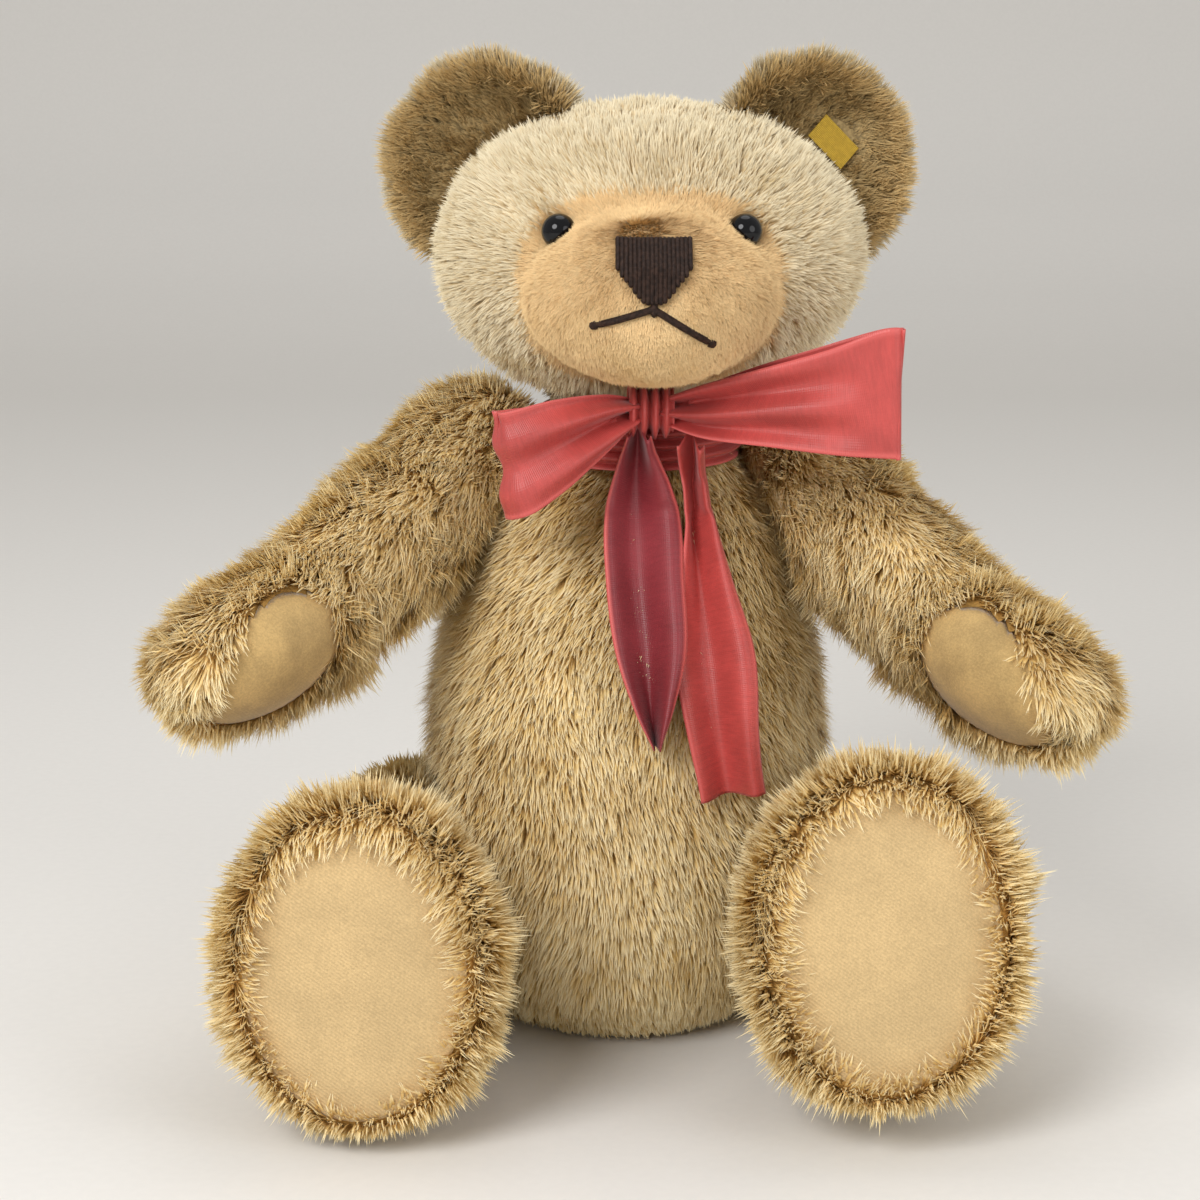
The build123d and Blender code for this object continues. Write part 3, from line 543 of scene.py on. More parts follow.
def waves(points, size, seed):
    """A smooth pattern from -1 to 1 whose features are about this size."""
    chance = np.random.default_rng(seed)
    total = np.zeros(len(points))
    for turn in range(7):
        way = unit(chance.normal(size=(1, 3)))[0]
        total += np.sin(points @ way * (math.tau / (size * chance.uniform(0.7, 1.6))) + chance.uniform(0, 9))
    return np.clip(total / 3.0, -1.0, 1.0)


# ---------------------------------------------------------------- hair

def blade(name, bends):
    """One tapered blade of hair, one unit long and wide, standing on its root."""
    work = bmesh.new()
    along = work.verts.layers.float.new("along")
    rows = []
    for height, shift, half in bends:
        row = []
        for side in (-1, 1) if half > 0 else (0,):
            vertex = work.verts.new((side * half, shift, height))
            vertex[along] = height
            row.append(vertex)
        rows.append(row)
    for low, high in zip(rows, rows[1:]):
        work.faces.new(low + high[::-1])
    bmesh.ops.triangulate(work, faces=work.faces)
    mesh = bpy.data.meshes.new(name)
    work.to_mesh(mesh)
    work.free()
    return bpy.data.objects.new(name, mesh)


def blade_collection(name, curl):
    """A few blades that differ in their bend. They are instanced and not shown themselves."""
    made = bpy.data.collections.new(name)
    chance = np.random.default_rng(5)
    for number in range(6):
        bend = curl * chance.uniform(-1.0, 1.0)
        hook = curl * chance.uniform(-0.6, 1.0)
        made.objects.link(blade(f"{name}_{number}", [
            (0.0, 0.0, 0.42),
            (0.55, bend * 0.09, 0.5),
            (1.0, hook * 0.28 + bend * 0.05, 0.0),
        ]))
    return made


def short_blades(name):
    made = bpy.data.collections.new(name)
    for number in range(3):
        made.objects.link(blade(f"{name}_{number}", [(0.0, 0.0, 0.5), (1.0, 0.1 * number, 0.0)]))
    return made


FUR_INPUTS = [
    ("Skin", "NodeSocketGeometry", None),
    ("Blades", "NodeSocketCollection", None),
    ("Density", "NodeSocketFloat", 1000000.0),
    ("Width", "NodeSocketFloat", 0.0006),
    ("Stand", "NodeSocketFloat", 0.65),
    ("Swirl", "NodeSocketFloat", 0.6),
    ("Swirl Scale", "NodeSocketFloat", 60.0),
    ("Stray", "NodeSocketFloat", 0.22),
    ("Lock Density", "NodeSocketFloat", 60000.0),
    ("Lock Pull", "NodeSocketFloat", 0.6),
    ("Material", "NodeSocketMaterial", None),
    ("Seed", "NodeSocketInt", 3),
]


def fur_tree():
    """Hair over a skin: combed, drawn into locks, each with its own length, tone and bend."""
    group = bpy.data.node_groups.new("Mohair", "GeometryNodeTree")
    for name, kind, default in FUR_INPUTS:
        socket = group.interface.new_socket(name, in_out="INPUT", socket_type=kind)
        if default is not None:
            socket.default_value = default
    group.interface.new_socket("Hair", in_out="OUTPUT", socket_type="NodeSocketGeometry")
    t = Tree(group)
    entry = group.nodes.new("NodeGroupInput")
    given = {name: Wire(t, entry.outputs[name]) for name, kind, default in FUR_INPUTS}

    def attribute(name, kind="FLOAT"):
        return t.node("GeometryNodeInputNamedAttribute", {"Name": name}, data_type=kind)

    grow = attribute("grow")
    length = attribute("length")
    comb = attribute("comb", "FLOAT_VECTOR")
    out = attribute("out", "FLOAT_VECTOR")
    tint = attribute("tint")
    place = t.node("GeometryNodeInputPosition")
    roots = t.node("GeometryNodeDistributePointsOnFaces",
                   {"Mesh": given["Skin"], "Density": given["Density"] * grow, "Seed": given["Seed"]})
    locks = t.node("GeometryNodeDistributePointsOnFaces",
                   {"Mesh": given["Skin"], "Density": given["Lock Density"], "Seed": given["Seed"] + 7})
    nearest = t.node("GeometryNodeSampleNearest", {"Geometry": locks, "Sample Position": place},
                     domain="POINT")
    middle = t.node("GeometryNodeSampleIndex", {"Geometry": locks, "Value": place, "Index": nearest},
                    data_type="FLOAT_VECTOR", domain="POINT")
    swirl = t.noise(place, given["Swirl Scale"], 1.5, 0.5, out=1) - 0.5
    every_way = {"Min": (-1.0, -1.0, -1.0), "Max": (1.0, 1.0, 1.0)}
    stray = t.node("FunctionNodeRandomValue", {**every_way, "Seed": 11},
                   data_type="FLOAT_VECTOR")
    pull = (middle - place) / length.at_least(0.002)
    lock_sway = t.node("FunctionNodeRandomValue", {**every_way, "ID": nearest, "Seed": 23},
                       data_type="FLOAT_VECTOR")
    way = out * given["Stand"] + comb + swirl * given["Swirl"] * 2.0 + stray * given["Stray"]
    way = way + pull * given["Lock Pull"] + lock_sway * (given["Stray"] * 0.9)
    upright = t.node("FunctionNodeAlignRotationToVector", {"Vector": way}, axis="Z")
    turned = t.node("FunctionNodeAlignRotationToVector", {"Rotation": upright, "Vector": out}, axis="Y",
                    pivot_axis="Z")
    spread = t.node("FunctionNodeRandomValue", {2: 0.62, 3: 1.18, "Seed": 31}, out=1, data_type="FLOAT")
    broad = t.node("FunctionNodeRandomValue", {2: 0.7, 3: 1.3, "Seed": 37}, out=1, data_type="FLOAT")
    wide = given["Width"] * broad
    size = t.node("ShaderNodeCombineXYZ", {0: wide, 1: length, 2: length * spread})
    kinds = t.node("GeometryNodeCollectionInfo", {"Collection": given["Blades"], "Separate Children": True,
                                                  "Reset Children": True})
    choice = t.node("FunctionNodeRandomValue", {4: 0, 5: 5, "Seed": 41}, out=2, data_type="INT")
    own = t.node("FunctionNodeRandomValue", {2: 0.0, 3: 1.0, "Seed": 43}, out=1, data_type="FLOAT")
    lock_tone = t.node("FunctionNodeRandomValue", {2: 0.0, 3: 1.0, "ID": nearest, "Seed": 47}, out=1,
                       data_type="FLOAT")
    patch = t.noise(place, 75.0, 2.0).between(0.3, 0.7)
    # tint carries each skin's random patches and the painted shade (on the crown, painted highlight) set on
    # torso, head and ears.
    tone = (own * 0.28 + lock_tone * 0.27 + patch * 0.45) + tint
    marked = t.node("GeometryNodeStoreNamedAttribute", {"Geometry": roots, "Name": "tone", "Value": tone},
                    data_type="FLOAT", domain="POINT")
    hairs = t.node("GeometryNodeInstanceOnPoints",
                   {"Points": marked, "Instance": kinds, "Pick Instance": True,
                    "Instance Index": choice, "Rotation": turned, "Scale": size})
    real = t.node("GeometryNodeRealizeInstances", {"Geometry": hairs})
    marks = t.node("ShaderNodeCombineXYZ", {0: attribute("tone").at_least(0.01).at_most(0.99),
                                            1: attribute("along") * 0.98 + 0.01})
    mapped = t.node("GeometryNodeStoreNamedAttribute", {"Geometry": real, "Name": BAKE, "Value": marks},
                    data_type="FLOAT2", domain="CORNER")
    done = t.node("GeometryNodeSetMaterial", {"Geometry": mapped, "Material": given["Material"]})
    leave = group.nodes.new("NodeGroupOutput")
    group.links.new(done.socket, leave.inputs[0])
    return group


def grow_hair(name, skin, settings, body):
    """Hair over a copy of a skin, as one plain mesh that rides on a body."""
    made = link_mesh(name, skin.copy())
    group = bpy.data.node_groups.get("Mohair") or fur_tree()
    modifier = made.modifiers.new("Hair", "NODES")
    modifier.node_group = group
    for item in group.interface.items_tree:
        if item.item_type == "SOCKET" and item.in_out == "INPUT" and item.name in settings:
            modifier[item.identifier] = settings[item.name]
    settle(made)
    mesh = made.data
    for spare in ("grow", "length", "comb", "out", "tint", "tone", "along", "density"):
        if spare in mesh.attributes:
            mesh.attributes.remove(mesh.attributes[spare])
    points = points_of(mesh)
    points[:, 2] = np.maximum(points[:, 2], HAIR_FLOOR)
    mesh.vertices.foreach_set("co", points.ravel())
    mesh.update()
    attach(made, body)


def area_of(mesh, weight):
    """Area of a mesh in square metres, each face counted by the weight of its points."""
    mesh.calc_loop_triangles()
    corners = np.empty(len(mesh.loop_triangles) * 3, dtype=np.int64)
    mesh.loop_triangles.foreach_get("vertices", corners)
    corners = corners.reshape(-1, 3)
    points = points_of(mesh)
    a, b, c = (points[corners[:, i]] for i in range(3))
    areas = np.linalg.norm(np.cross(b - a, c - a), axis=1) / 2
    return float(np.sum(areas * weight[corners].mean(axis=1)))


skin_values = {}


def hair_set(name, skin, regions, body, settings, faces_each=BLADE_FACES):
    """Grows the hair of one skin in several pieces, each with its own share of the faces.

    regions is a list of (name, mask from 0 to 1, faces wanted, material).
    """
    mesh = skin.data
    values = skin_values[skin.name]
    for number, (label, mask, faces, material) in enumerate(regions):
        mesh_copy = mesh.copy()
        weight = values["grow"] * mask
        put_attribute(mesh_copy, "grow", weight)
        for key in ("length", "comb", "out", "tint"):
            put_attribute(mesh_copy, key, values[key])
        area = area_of(mesh_copy, weight)
        density = faces / faces_each / max(area, 1e-6)
        own = dict(settings)
        own.update({"Density": density, "Material": material, "Seed": 3 + number})
        grow_hair(f"{name}_{label}", mesh_copy, own, body)


def set_skin(skin, grow, length, comb, tint):
    """Keeps what the hair needs to know about each point of a skin."""
    out = normals_of(skin.data)
    lean = tangent(comb, out)
    skin_values[skin.name] = {"grow": grow, "length": length, "comb": lean, "out": out, "tint": tint}


# ---------------------------------------------------------------- pads

class Pad:
    """The oval that a paw pad or sole fills: its middle, outward direction and half sizes."""

    def __init__(self, node, away_from):
        mesh = frame["nodes"][node].data
        mesh.calc_loop_triangles()
        corners = np.empty(len(mesh.loop_triangles) * 3, dtype=np.int64)
        mesh.loop_triangles.foreach_get("vertices", corners)
        corners = corners.reshape(-1, 3)
        points = points_of(mesh)
        a, b, c = (points[corners[:, i]] for i in range(3))
        areas = np.linalg.norm(np.cross(b - a, c - a), axis=1)
        centres = (a + b + c) / 3
        middle = (centres * areas[:, None]).sum(axis=0) / areas.sum()
        spread = ((centres - middle) * areas[:, None]).T @ (centres - middle)
        values, ways = np.linalg.eigh(spread)
        self.middle = middle
        self.out = ways[:, 0] * (1 if ways[:, 0] @ (middle - np.array(away_from)) > 0 else -1)
        self.up = ways[:, 2] * (1 if ways[:, 2][2] > 0 else -1)
        self.side = np.cross(self.up, self.out)
        self.half_up = np.abs((points - middle) @ self.up).max()
        self.half_side = np.abs((points - middle) @ self.side).max()
        self.tree = BVHTree.FromPolygons([Vector(p) for p in points], [tuple(f) for f in corners])

    def share(self, points):
        """0 in the middle of the oval, 1 on its edge, and the height above its plane."""
        away = points - self.middle
        across = (away @ self.side) / self.half_side
        up = (away @ self.up) / self.half_up
        return np.hypot(across, up), away @ self.out

    def outward(self, points):
        away = points - self.middle
        return (away @ self.side)[:, None] * self.side + (away @ self.up)[:, None] * self.up


def pad_mesh(name, pad, thickness, crown, puckers, gathers):
    """A crowned oval pad with a rolled edge, puckered where its stitches pull."""
    work = bmesh.new()
    rings = 26
    spokes = 144
    rows = []
    for ring in range(rings + 4):
        row = []
        for spoke in range(spokes):
            turn = math.tau * spoke / spokes
            share = min(ring / rings, 1.0) * 0.985
            flat = pad.side * math.cos(turn) * pad.half_side + pad.up * math.sin(turn) * pad.half_up
            flat = flat * share
            start = Vector(pad.middle + flat + pad.out * 0.04)
            hit = pad.tree.ray_cast(start, Vector(-pad.out), 0.08)[0]
            if hit is None:
                hit = pad.tree.find_nearest(Vector(pad.middle + flat))[0]
            height = crown * (1 - share ** 4)
            pucker = puckers * step(share, 0.8, 0.97) * math.sin(turn * 46)
            for angle, depth, spread_over in gathers:
                gap = abs((turn - angle + math.pi) % math.tau - math.pi)
                height -= depth * math.exp(-(gap / spread_over) ** 2) * step(share, 0.72, 0.98)
            lift = height + pucker
            if ring > rings:
                lift -= thickness * 0.5 * (ring - rings)
            row.append(work.verts.new(hit + Vector(pad.out) * lift))
        rows.append(row)
    for low, high in zip(rows, rows[1:]):
        for spoke in range(spokes):
            after = (spoke + 1) % spokes
            if low is rows[0]:
                continue
            work.faces.new((low[spoke], low[after], high[after], high[spoke]))
    hub = rows[0][0]
    for spoke in range(spokes):
        work.faces.new((hub, rows[1][spoke], rows[1][(spoke + 1) % spokes]))
    for vertex in rows[0][1:]:
        work.verts.remove(vertex)
    under = work.verts.new(Vector(pad.middle) - Vector(pad.out) * thickness)
    last = rows[-1]
    for spoke in range(spokes):
        work.faces.new((under, last[(spoke + 1) % spokes], last[spoke]))
    bmesh.ops.recalc_face_normals(work, faces=work.faces)
    mesh = bpy.data.meshes.new(name)
    work.to_mesh(mesh)
    work.free()
    mesh.shade_smooth()
    return link_mesh(name, mesh)


# ---------------------------------------------------------------- ribbon

def along_stations(stations, count):
    """Points evenly through the stations on a smooth curve, each a row of numbers."""
    rows = np.array(stations, dtype=float)
    padded = np.vstack([2 * rows[0] - rows[1], rows, 2 * rows[-1] - rows[-2]])
    spans = len(rows) - 1
    out = []
    for number in range(count):
        place = number / (count - 1) * spans
        span = min(int(place), spans - 1)
        s = place - span
        a, b, c, d = padded[span:span + 4]
        out.append(0.5 * (2 * b + (c - a) * s + (2 * a - 5 * b + 4 * c - d) * s * s
                          + (3 * b - a - 3 * c + d) * s ** 3))
    return np.array(out)


def ribbon_mesh(name, rows, up, width, folds, material, reverse=0.0, thickness=0.0004, phase=0.0, deep=0.8):
    """A ribbon through rows of (x, y, z, half width), its spare width laid in folds."""
    across = 41
    count = len(rows)
    middle = rows[:, :3]
    half = np.maximum(rows[:, 3], 0.001)
    run = unit(np.gradient(middle, axis=0))
    up = np.array(up, dtype=float) if np.ndim(up) == 2 else np.tile(np.array(up, dtype=float), (count, 1))
    wide = unit(up - run * np.sum(up * run, axis=1, keepdims=True))
    deep_way = np.cross(run, wide)
    steps = np.concatenate([[0], np.cumsum(np.linalg.norm(np.diff(middle, axis=0), axis=1))])
    grid = np.zeros((count, across, 3))
    for column in range(across):
        share = column / (across - 1) * 2 - 1
        spare = np.sqrt(np.maximum((width / 2) ** 2 - half ** 2, 0.0)) / max(folds, 1)
        wave = np.cos(math.pi * (share + 1) * folds + phase) * deep
        ease = 0.35 + 0.65 * (1 - abs(share) ** 3)
        aside = wide * (share * half)[:, None]
        grid[:, column] = middle + aside + deep_way * (spare * wave * 0.5 * ease)[:, None]
    work = bmesh.new()
    weave = work.loops.layers.uv.new("Weave")
    edge = work.verts.layers.float.new("edge")
    side = work.verts.layers.float.new("reverse")
    verts = []
    for number in range(count):
        row = []
        for column in range(across):
            vertex = work.verts.new(grid[number, column])
            vertex[edge] = abs(column / (across - 1) * 2 - 1)
            vertex[side] = reverse
            row.append(vertex)
        verts.append(row)
    for number in range(count - 1):
        for column in range(across - 1):
            corners = [(number, column), (number, column + 1),
                       (number + 1, column + 1), (number + 1, column)]
            face = work.faces.new([verts[i][j] for i, j in corners])
            face.smooth = True
            for loop, (i, j) in zip(face.loops, corners):
                loop[weave].uv = (j / (across - 1) * width, steps[i])
    mesh = bpy.data.meshes.new(name)
    work.to_mesh(mesh)
    work.free()
    made = link_mesh(name, mesh)
    solid = made.modifiers.new("Thickness", "SOLIDIFY")
    solid.thickness = thickness
    solid.offset = 0.0
    settle(made)
    made.data.materials.clear()
    made.data.materials.append(material)
    return made, float(steps[-1])


def finish_sheet(made, body, nodes):
    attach(made, body)
    if nodes:
        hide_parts(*nodes)


def tail_rows(chest, left, right, start_y, count, stand_off):
    """Rows down the chest from (x, z) edges, clear of the hair on it."""
    left = along_stations(left, count)
    right = along_stations(right, count)
    rows = []
    level = start_y
    for number in range(count):
        share = number / (count - 1)
        middle = (left[number] + right[number]) / 2
        half = np.linalg.norm(right[number] - left[number]) / 2
        hit = None
        ray = chest.ray_cast(Vector((middle[0], -0.3, middle[1])), Vector((0, 1, 0)), 0.5)[0]
        if ray is not None:
            hit = ray.y - stand_off
        chest_y = hit if hit is not None else level
        level = min(level, chest_y) if share > 0.12 else start_y + (chest_y - start_y) * share / 0.12 * 0.5
        level = min(level, chest_y)
        rows.append((middle[0], level, middle[1], half))
    rows = np.array(rows)
    kernel = np.ones(5) / 5
    rows[:, 1] = np.convolve(np.pad(rows[:, 1], 2, mode="edge"), kernel, mode="valid")
    ups = np.zeros((count, 3))
    ups[:, 0] = right[:, 0] - left[:, 0]
    ups[:, 2] = right[:, 1] - left[:, 1]
    return rows, ups


def shifted(stations):
    """Stations in millimetres from the knot, as rows in metres in the row frame."""
    return [(KNOT.x + x / 1000, KNOT.y + y / 1000, KNOT.z + z / 1000, half / 1000)
            for x, y, z, half in stations]


def edges_at(stations):
    return [(KNOT.x + x / 1000, KNOT.z + z / 1000) for x, z in stations]


# ---------------------------------------------------------------- operators

def mohair():
    return bpy.context.scene.bear_mohair


def body_fur(settings):
    made = bpy.data.materials.get("body_mohair")
    if made is None:
        made = fur_material("body_mohair", settings.root, settings.middle, settings.tip, (0.84, 0.75, 0.58))
    return made


def hair_settings(settings, curl=0.6):
    name = f"hair_blades_{int(curl * 100)}"
    blades = bpy.data.collections.get(name) or blade_collection(name, curl)
    return {"Blades": blades, "Width": settings.width, "Stand": 0.62, "Swirl": 0.45, "Swirl Scale": 55.0,
            "Stray": 0.2, "Lock Density": 90000.0, "Lock Pull": 0.55}


def dress_skin(skin, body, nodes, colour, deep):
    material = cloth_skin(f"{skin.name}_backing", colour, deep)
    skin.data.materials.clear()
    skin.data.materials.append(material)
    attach(skin, body)
    if nodes:
        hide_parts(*nodes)


class BEAR_OT_torso(bpy.types.Operator):
    """Make the torso's backing and its hair"""
    bl_idname = "bear.torso"
    bl_label = "Torso"

    def execute(self, context):
        s = mohair()
        nodes = ["torso_cover", "torso_stuffing", "neck_body_disc", "right_shoulder_body_disc",
                 "left_shoulder_body_disc", "right_hip_body_disc", "left_hip_body_disc"]
        skin = skin_of("torso_skin", nodes, 0.0035, s.inset)
        mesh = skin.data
        points = points_of(mesh)
        out = normals_of(mesh)
        comb = np.tile(np.array([0.0, 0.0, -1.0]), (len(points), 1))
        comb[:, 0] += 0.35 * waves(points, 0.07, 1) - points[:, 0] * 3.0
        grow = np.ones(len(points))
        length = s.body_length * (1 + 0.14 * waves(points, 0.035, 2))
        for side in SIDES:
            for joint in ("shoulder", "hip"):
                middle = np.array(box_middle(f"{side}_{joint}_body_disc"))
                reach = 0.026 if joint == "shoulder" else 0.038
                near = np.linalg.norm(points - middle, axis=1)
                length = length * (0.6 + 0.4 * step(near, reach * 0.6, reach))
        top = step(points[:, 2], 0.19, 0.212)
        length = length * (1 - 0.55 * top)
        length = length * (0.4 + 0.6 * step(points[:, 2], 0.004, 0.03))
        # Tint: random patches, plus painted shade on the flanks and on the upper front of the chest under
        # the head and bow.
        tint = 0.12 * waves(points, 0.05, 4) - 0.18 * step(np.abs(points[:, 0] - 0.005), 0.055, 0.085)
        tint -= 0.25 * step(points[:, 2], 0.165, 0.20) * step(-points[:, 1], 0.0, 0.03)
        set_skin(skin, grow, length, comb, tint)
        front = step(-points[:, 1] + 0.2 * np.abs(points[:, 0]), -0.008, 0.0)
        fur = body_fur(s)
        own = hair_settings(s)
        hair_set("torso_hair", skin, [("front", front, 190000, fur), ("back", 1 - front, 150000, fur)],
                 "torso", own)
        dress_skin(skin, "torso", ["torso_cover", "torso_stuffing"], s.root,
                   tuple(c * 0.6 for c in s.root))
        return {"FINISHED"}


def face_share(points):
    """Below 1 inside the face insert, 1 on its seam."""
    across = np.abs(points[:, 0] - HEAD.x) / 0.0425
    up = (points[:, 2] - HEAD.z + 0.009) / 0.031
    inside = (across ** 2.6 + np.abs(up) ** 2.6) ** (1 / 2.6)
    return np.where(points[:, 1] < HEAD.y - 0.018, inside, 9.0)


class BEAR_OT_head(bpy.types.Operator):
    """Make the head's backing, its hair and the short pile of the face"""
    bl_idname = "bear.head"
    bl_label = "Head"

    def execute(self, context):
        s = mohair()
        nodes = ["head_cover", "muzzle_cover", "head_stuffing", "neck_head_disc"]
        skin = skin_of("head_skin", nodes, 0.003, 0.0, rounds=4)
        mesh = skin.data
        points = points_of(mesh)
        out = normals_of(mesh)
        face = face_share(points)
        hairy = step(face, 0.96, 1.04)
        points = points - out * (s.inset * step(face, 0.9, 1.15))[:, None]
        mesh.vertices.foreach_set("co", points.ravel())
        mesh.update()
        middle = np.array([HEAD.x, HEAD.y - 0.06, HEAD.z - 0.006])
        comb = unit(points - middle)
        below = step(HEAD.z - points[:, 2], -0.01, 0.03)
        comb = comb + np.array([0.0, 0.0, -0.9]) * below[:, None] + np.array([0.0, 0.35, 0.0])
        comb[:, 0] += 0.25 * waves(points, 0.06, 6)
        rim = step(face, 1.0, 1.5)
        length = s.head_length * (0.62 + 0.38 * rim) * (1 + 0.14 * waves(points, 0.03, 7))
        crown = step(points[:, 2], HEAD.z + 0.03, HEAD.z + 0.05)
        length = length * (1 - 0.28 * crown)
        neck = step(0.232 - points[:, 2], 0.0, 0.012)
        length = length * (1 - 0.5 * neck)
        # Tint: random patches, a painted highlight on the crown and painted shade under the chin and round
        # the neck.
        tint = 0.10 * waves(points, 0.045, 8) + 0.08 * crown - 0.22 * step(0.25 - points[:, 2], 0.0, 0.02)
        set_skin(skin, hairy, length, comb, tint)
        pale = fur_material("head_mohair", s.root, s.pale_middle, s.pale_tip, (0.84, 0.77, 0.63))
        front = step(-points[:, 1], -0.005, 0.0)
        own = hair_settings(s)
        hair_set("head_hair", skin, [("front", front, 190000, pale), ("back", 1 - front, 140000, pale)],
                 "head", own)
        pile_length = s.pile_length * (0.7 + 0.9 * step(face, 0.55, 1.0))
        values = skin_values[skin.name]
        values["length"] = pile_length
        values["grow"] = np.where(face < 9.0, 1 - hairy, 0.0)
        pile = fur_material("face_pile", tuple(c * 0.8 for c in s.pile), s.pile,
                            tuple(min(c * 1.22, 0.95) for c in s.pile), (0.93, 0.88, 0.80), 0.7)
        blades = bpy.data.collections.get("pile_blades") or short_blades("pile_blades")
        small = {"Blades": blades, "Width": 0.00055, "Stand": 0.5, "Swirl": 0.3, "Swirl Scale": 70.0,
                 "Stray": 0.22, "Lock Density": 200000.0, "Lock Pull": 0.1}
        hair_set("face_pile", skin, [("front", np.ones(len(points)), 150000, pile)], "head",
                 small, PILE_FACES)
        dress_skin(skin, "head", ["head_cover", "muzzle_cover", "head_stuffing"],
                   tuple(c * 0.85 for c in s.pile), tuple(c * 0.6 for c in s.pile))
        return {"FINISHED"}


class BEAR_OT_ears(bpy.types.Operator):
    """Make both ears and their hair"""
    bl_idname = "bear.ears"
    bl_label = "Ears"

    def execute(self, context):
        s = mohair()
        # Inner ear hair: dark colours, painted shade in the hollow of the ear.
        inner_fur_painted_shade = fur_material("ear_mohair_painted_shade", tuple(c * 0.6 for c in s.painted_shade_inner_ear), s.painted_shade_inner_ear,
                             tuple(min(c * 1.7, 0.9) for c in s.painted_shade_inner_ear), (0.7, 0.62, 0.5))
        rim_fur = fur_material("ear_back_mohair", s.root, tuple(c * 0.85 for c in s.pale_middle),
                               tuple(c * 0.86 for c in s.pale_tip), (0.7, 0.6, 0.45))
        for side, sign in SIDES.items():
            skin = skin_of(f"{side}_ear_skin", [f"{side}_ear"], 0.0016, 0.0006, rounds=4)
            mesh = skin.data
            points = points_of(mesh)
            out = normals_of(mesh)
            centre = np.array(box_middle(f"{side}_ear"))
            base = np.array([HEAD.x + sign * 0.035, HEAD.y, HEAD.z + 0.02])
            comb = unit(points - base)
            axis = unit(np.array([[sign * 0.32, -0.93, 0.05]]))[0]
            away = points - (np.array([HEAD.x + sign * 0.053, HEAD.y + 0.008, HEAD.z + 0.029]))
            flat = away - (away @ axis)[:, None] * axis
            radius = np.linalg.norm(flat, axis=1)
            edge = step(radius, 0.018, 0.031)
            facing = step(out @ axis, 0.1, 0.5)
            comb = comb + 1.2 * unit(flat)
            comb[:, 2] += 0.2
            length = s.body_length * (0.55 + 0.55 * edge) * (1 + 0.15 * waves(points, 0.02, 12 + sign))
            # Tint: random patches; on the inner face paler at the rim than in the middle, painted shade in
            # the hollow of the ear.
            tint = -0.1 + 0.5 * edge * facing + 0.1 * waves(points, 0.02, 14)
            cover = np.ones(len(points))
            if side == "left":
                tag = np.array(box_middle("ear_tag"))
                near = np.linalg.norm(points - tag, axis=1)
                cover = step(near, 0.0085, 0.0105)
                length = length * (0.45 + 0.55 * step(near, 0.009, 0.018))
            set_skin(skin, cover, length, comb, tint)
            own = hair_settings(s)
            own["Stand"] = 0.75
            own["Stray"] = 0.35
            hair_set(f"{side}_ear_hair", skin, [("front", facing, 45000, inner_fur_painted_shade),
                                                ("back", 1 - facing, 60000, rim_fur)],
                     "head", own)
            dress_skin(skin, "head", [f"{side}_ear"], s.painted_shade_inner_ear, tuple(c * 0.6 for c in s.painted_shade_inner_ear))
        return {"FINISHED"}


def limb_hair(side, kind, pad_name, joint_node, nodes, s):
    """Backing and hair of one arm or leg, with longer locks round its pad."""
    sign = SIDES[side]
    skin = skin_of(f"{side}_{kind}_skin", nodes, 0.003, 0.0, rounds=4)
    mesh = skin.data
    points = points_of(mesh)
    out = normals_of(mesh)
    joint = np.array(box_middle(joint_node))
    middle = points.mean(axis=0)
    pad = Pad(pad_name, middle)
    share, height = pad.share(points)
    on_pad = (height > -0.012) & ((out @ pad.out) > 0.2)
    cover = np.where(on_pad, step(share, 0.93, 1.02), 1.0)
    inset = s.inset * np.where(on_pad, step(share, 0.95, 1.25), 1.0)
    points = points - out * inset[:, None]
    points[:, 2] = np.maximum(points[:, 2], SKIN_FLOOR)
    mesh.vertices.foreach_set("co", points.ravel())
    mesh.update()
    run = unit((pad.middle - joint)[None, :])[0]
    comb = np.tile(run, (len(points), 1))
    along = (points - joint) @ run / np.linalg.norm(pad.middle - joint)
    if kind == "arm":
        comb[:, 2] -= 0.35
    around = unit(pad.outward(points))
    near = step(0.030 - np.abs(height), 0.0, 0.02) * step(share, 0.8, 1.05)
    comb = comb * (1 - 0.2 * near)[:, None] + around * (0.3 * near)[:, None]
    comb = comb + np.array(pad.out) * (0.3 * near)[:, None]
    over_edge = np.where(on_pad, step(1.22 - share, 0.0, 0.14), 0.0)
    comb = comb - around * (1.15 * over_edge)[:, None]
    comb[:, 0] += 0.2 * waves(points, 0.05, 21 + sign)
    comb[:, 2] += 0.2 * waves(points, 0.05, 25 + sign)
    length = s.body_length * (1 + 0.14 * waves(points, 0.03, 27 + sign))
    length = (length + (s.paw_length - s.body_length) * near) * (1 - 0.35 * over_edge)
    face_side = np.linalg.norm(points - joint, axis=1)
    inward = (out[:, 0] * -sign) > 0.35
    length = np.where(inward, length * (0.6 + 0.4 * step(face_side, 0.02, 0.045)), length)
    low = step(points[:, 2], 0.002, 0.02)
    length = length * (0.45 + 0.55 * low)
    tint = 0.12 * waves(points, 0.045, 31 + sign) + 0.10 * near
    set_skin(skin, cover, length, comb, tint)
    own = hair_settings(s, 0.9)
    own.update({"Swirl": 0.95, "Stray": 0.24, "Lock Density": 70000.0, "Lock Pull": 0.7})
    fur = body_fur(s)
    hair_set(f"{side}_{kind}_hair", skin, [("all", np.ones(len(points)), 190000 if kind == "leg" else 160000,
                                            fur)], f"{side}_{kind}", own)
    return skin, pad


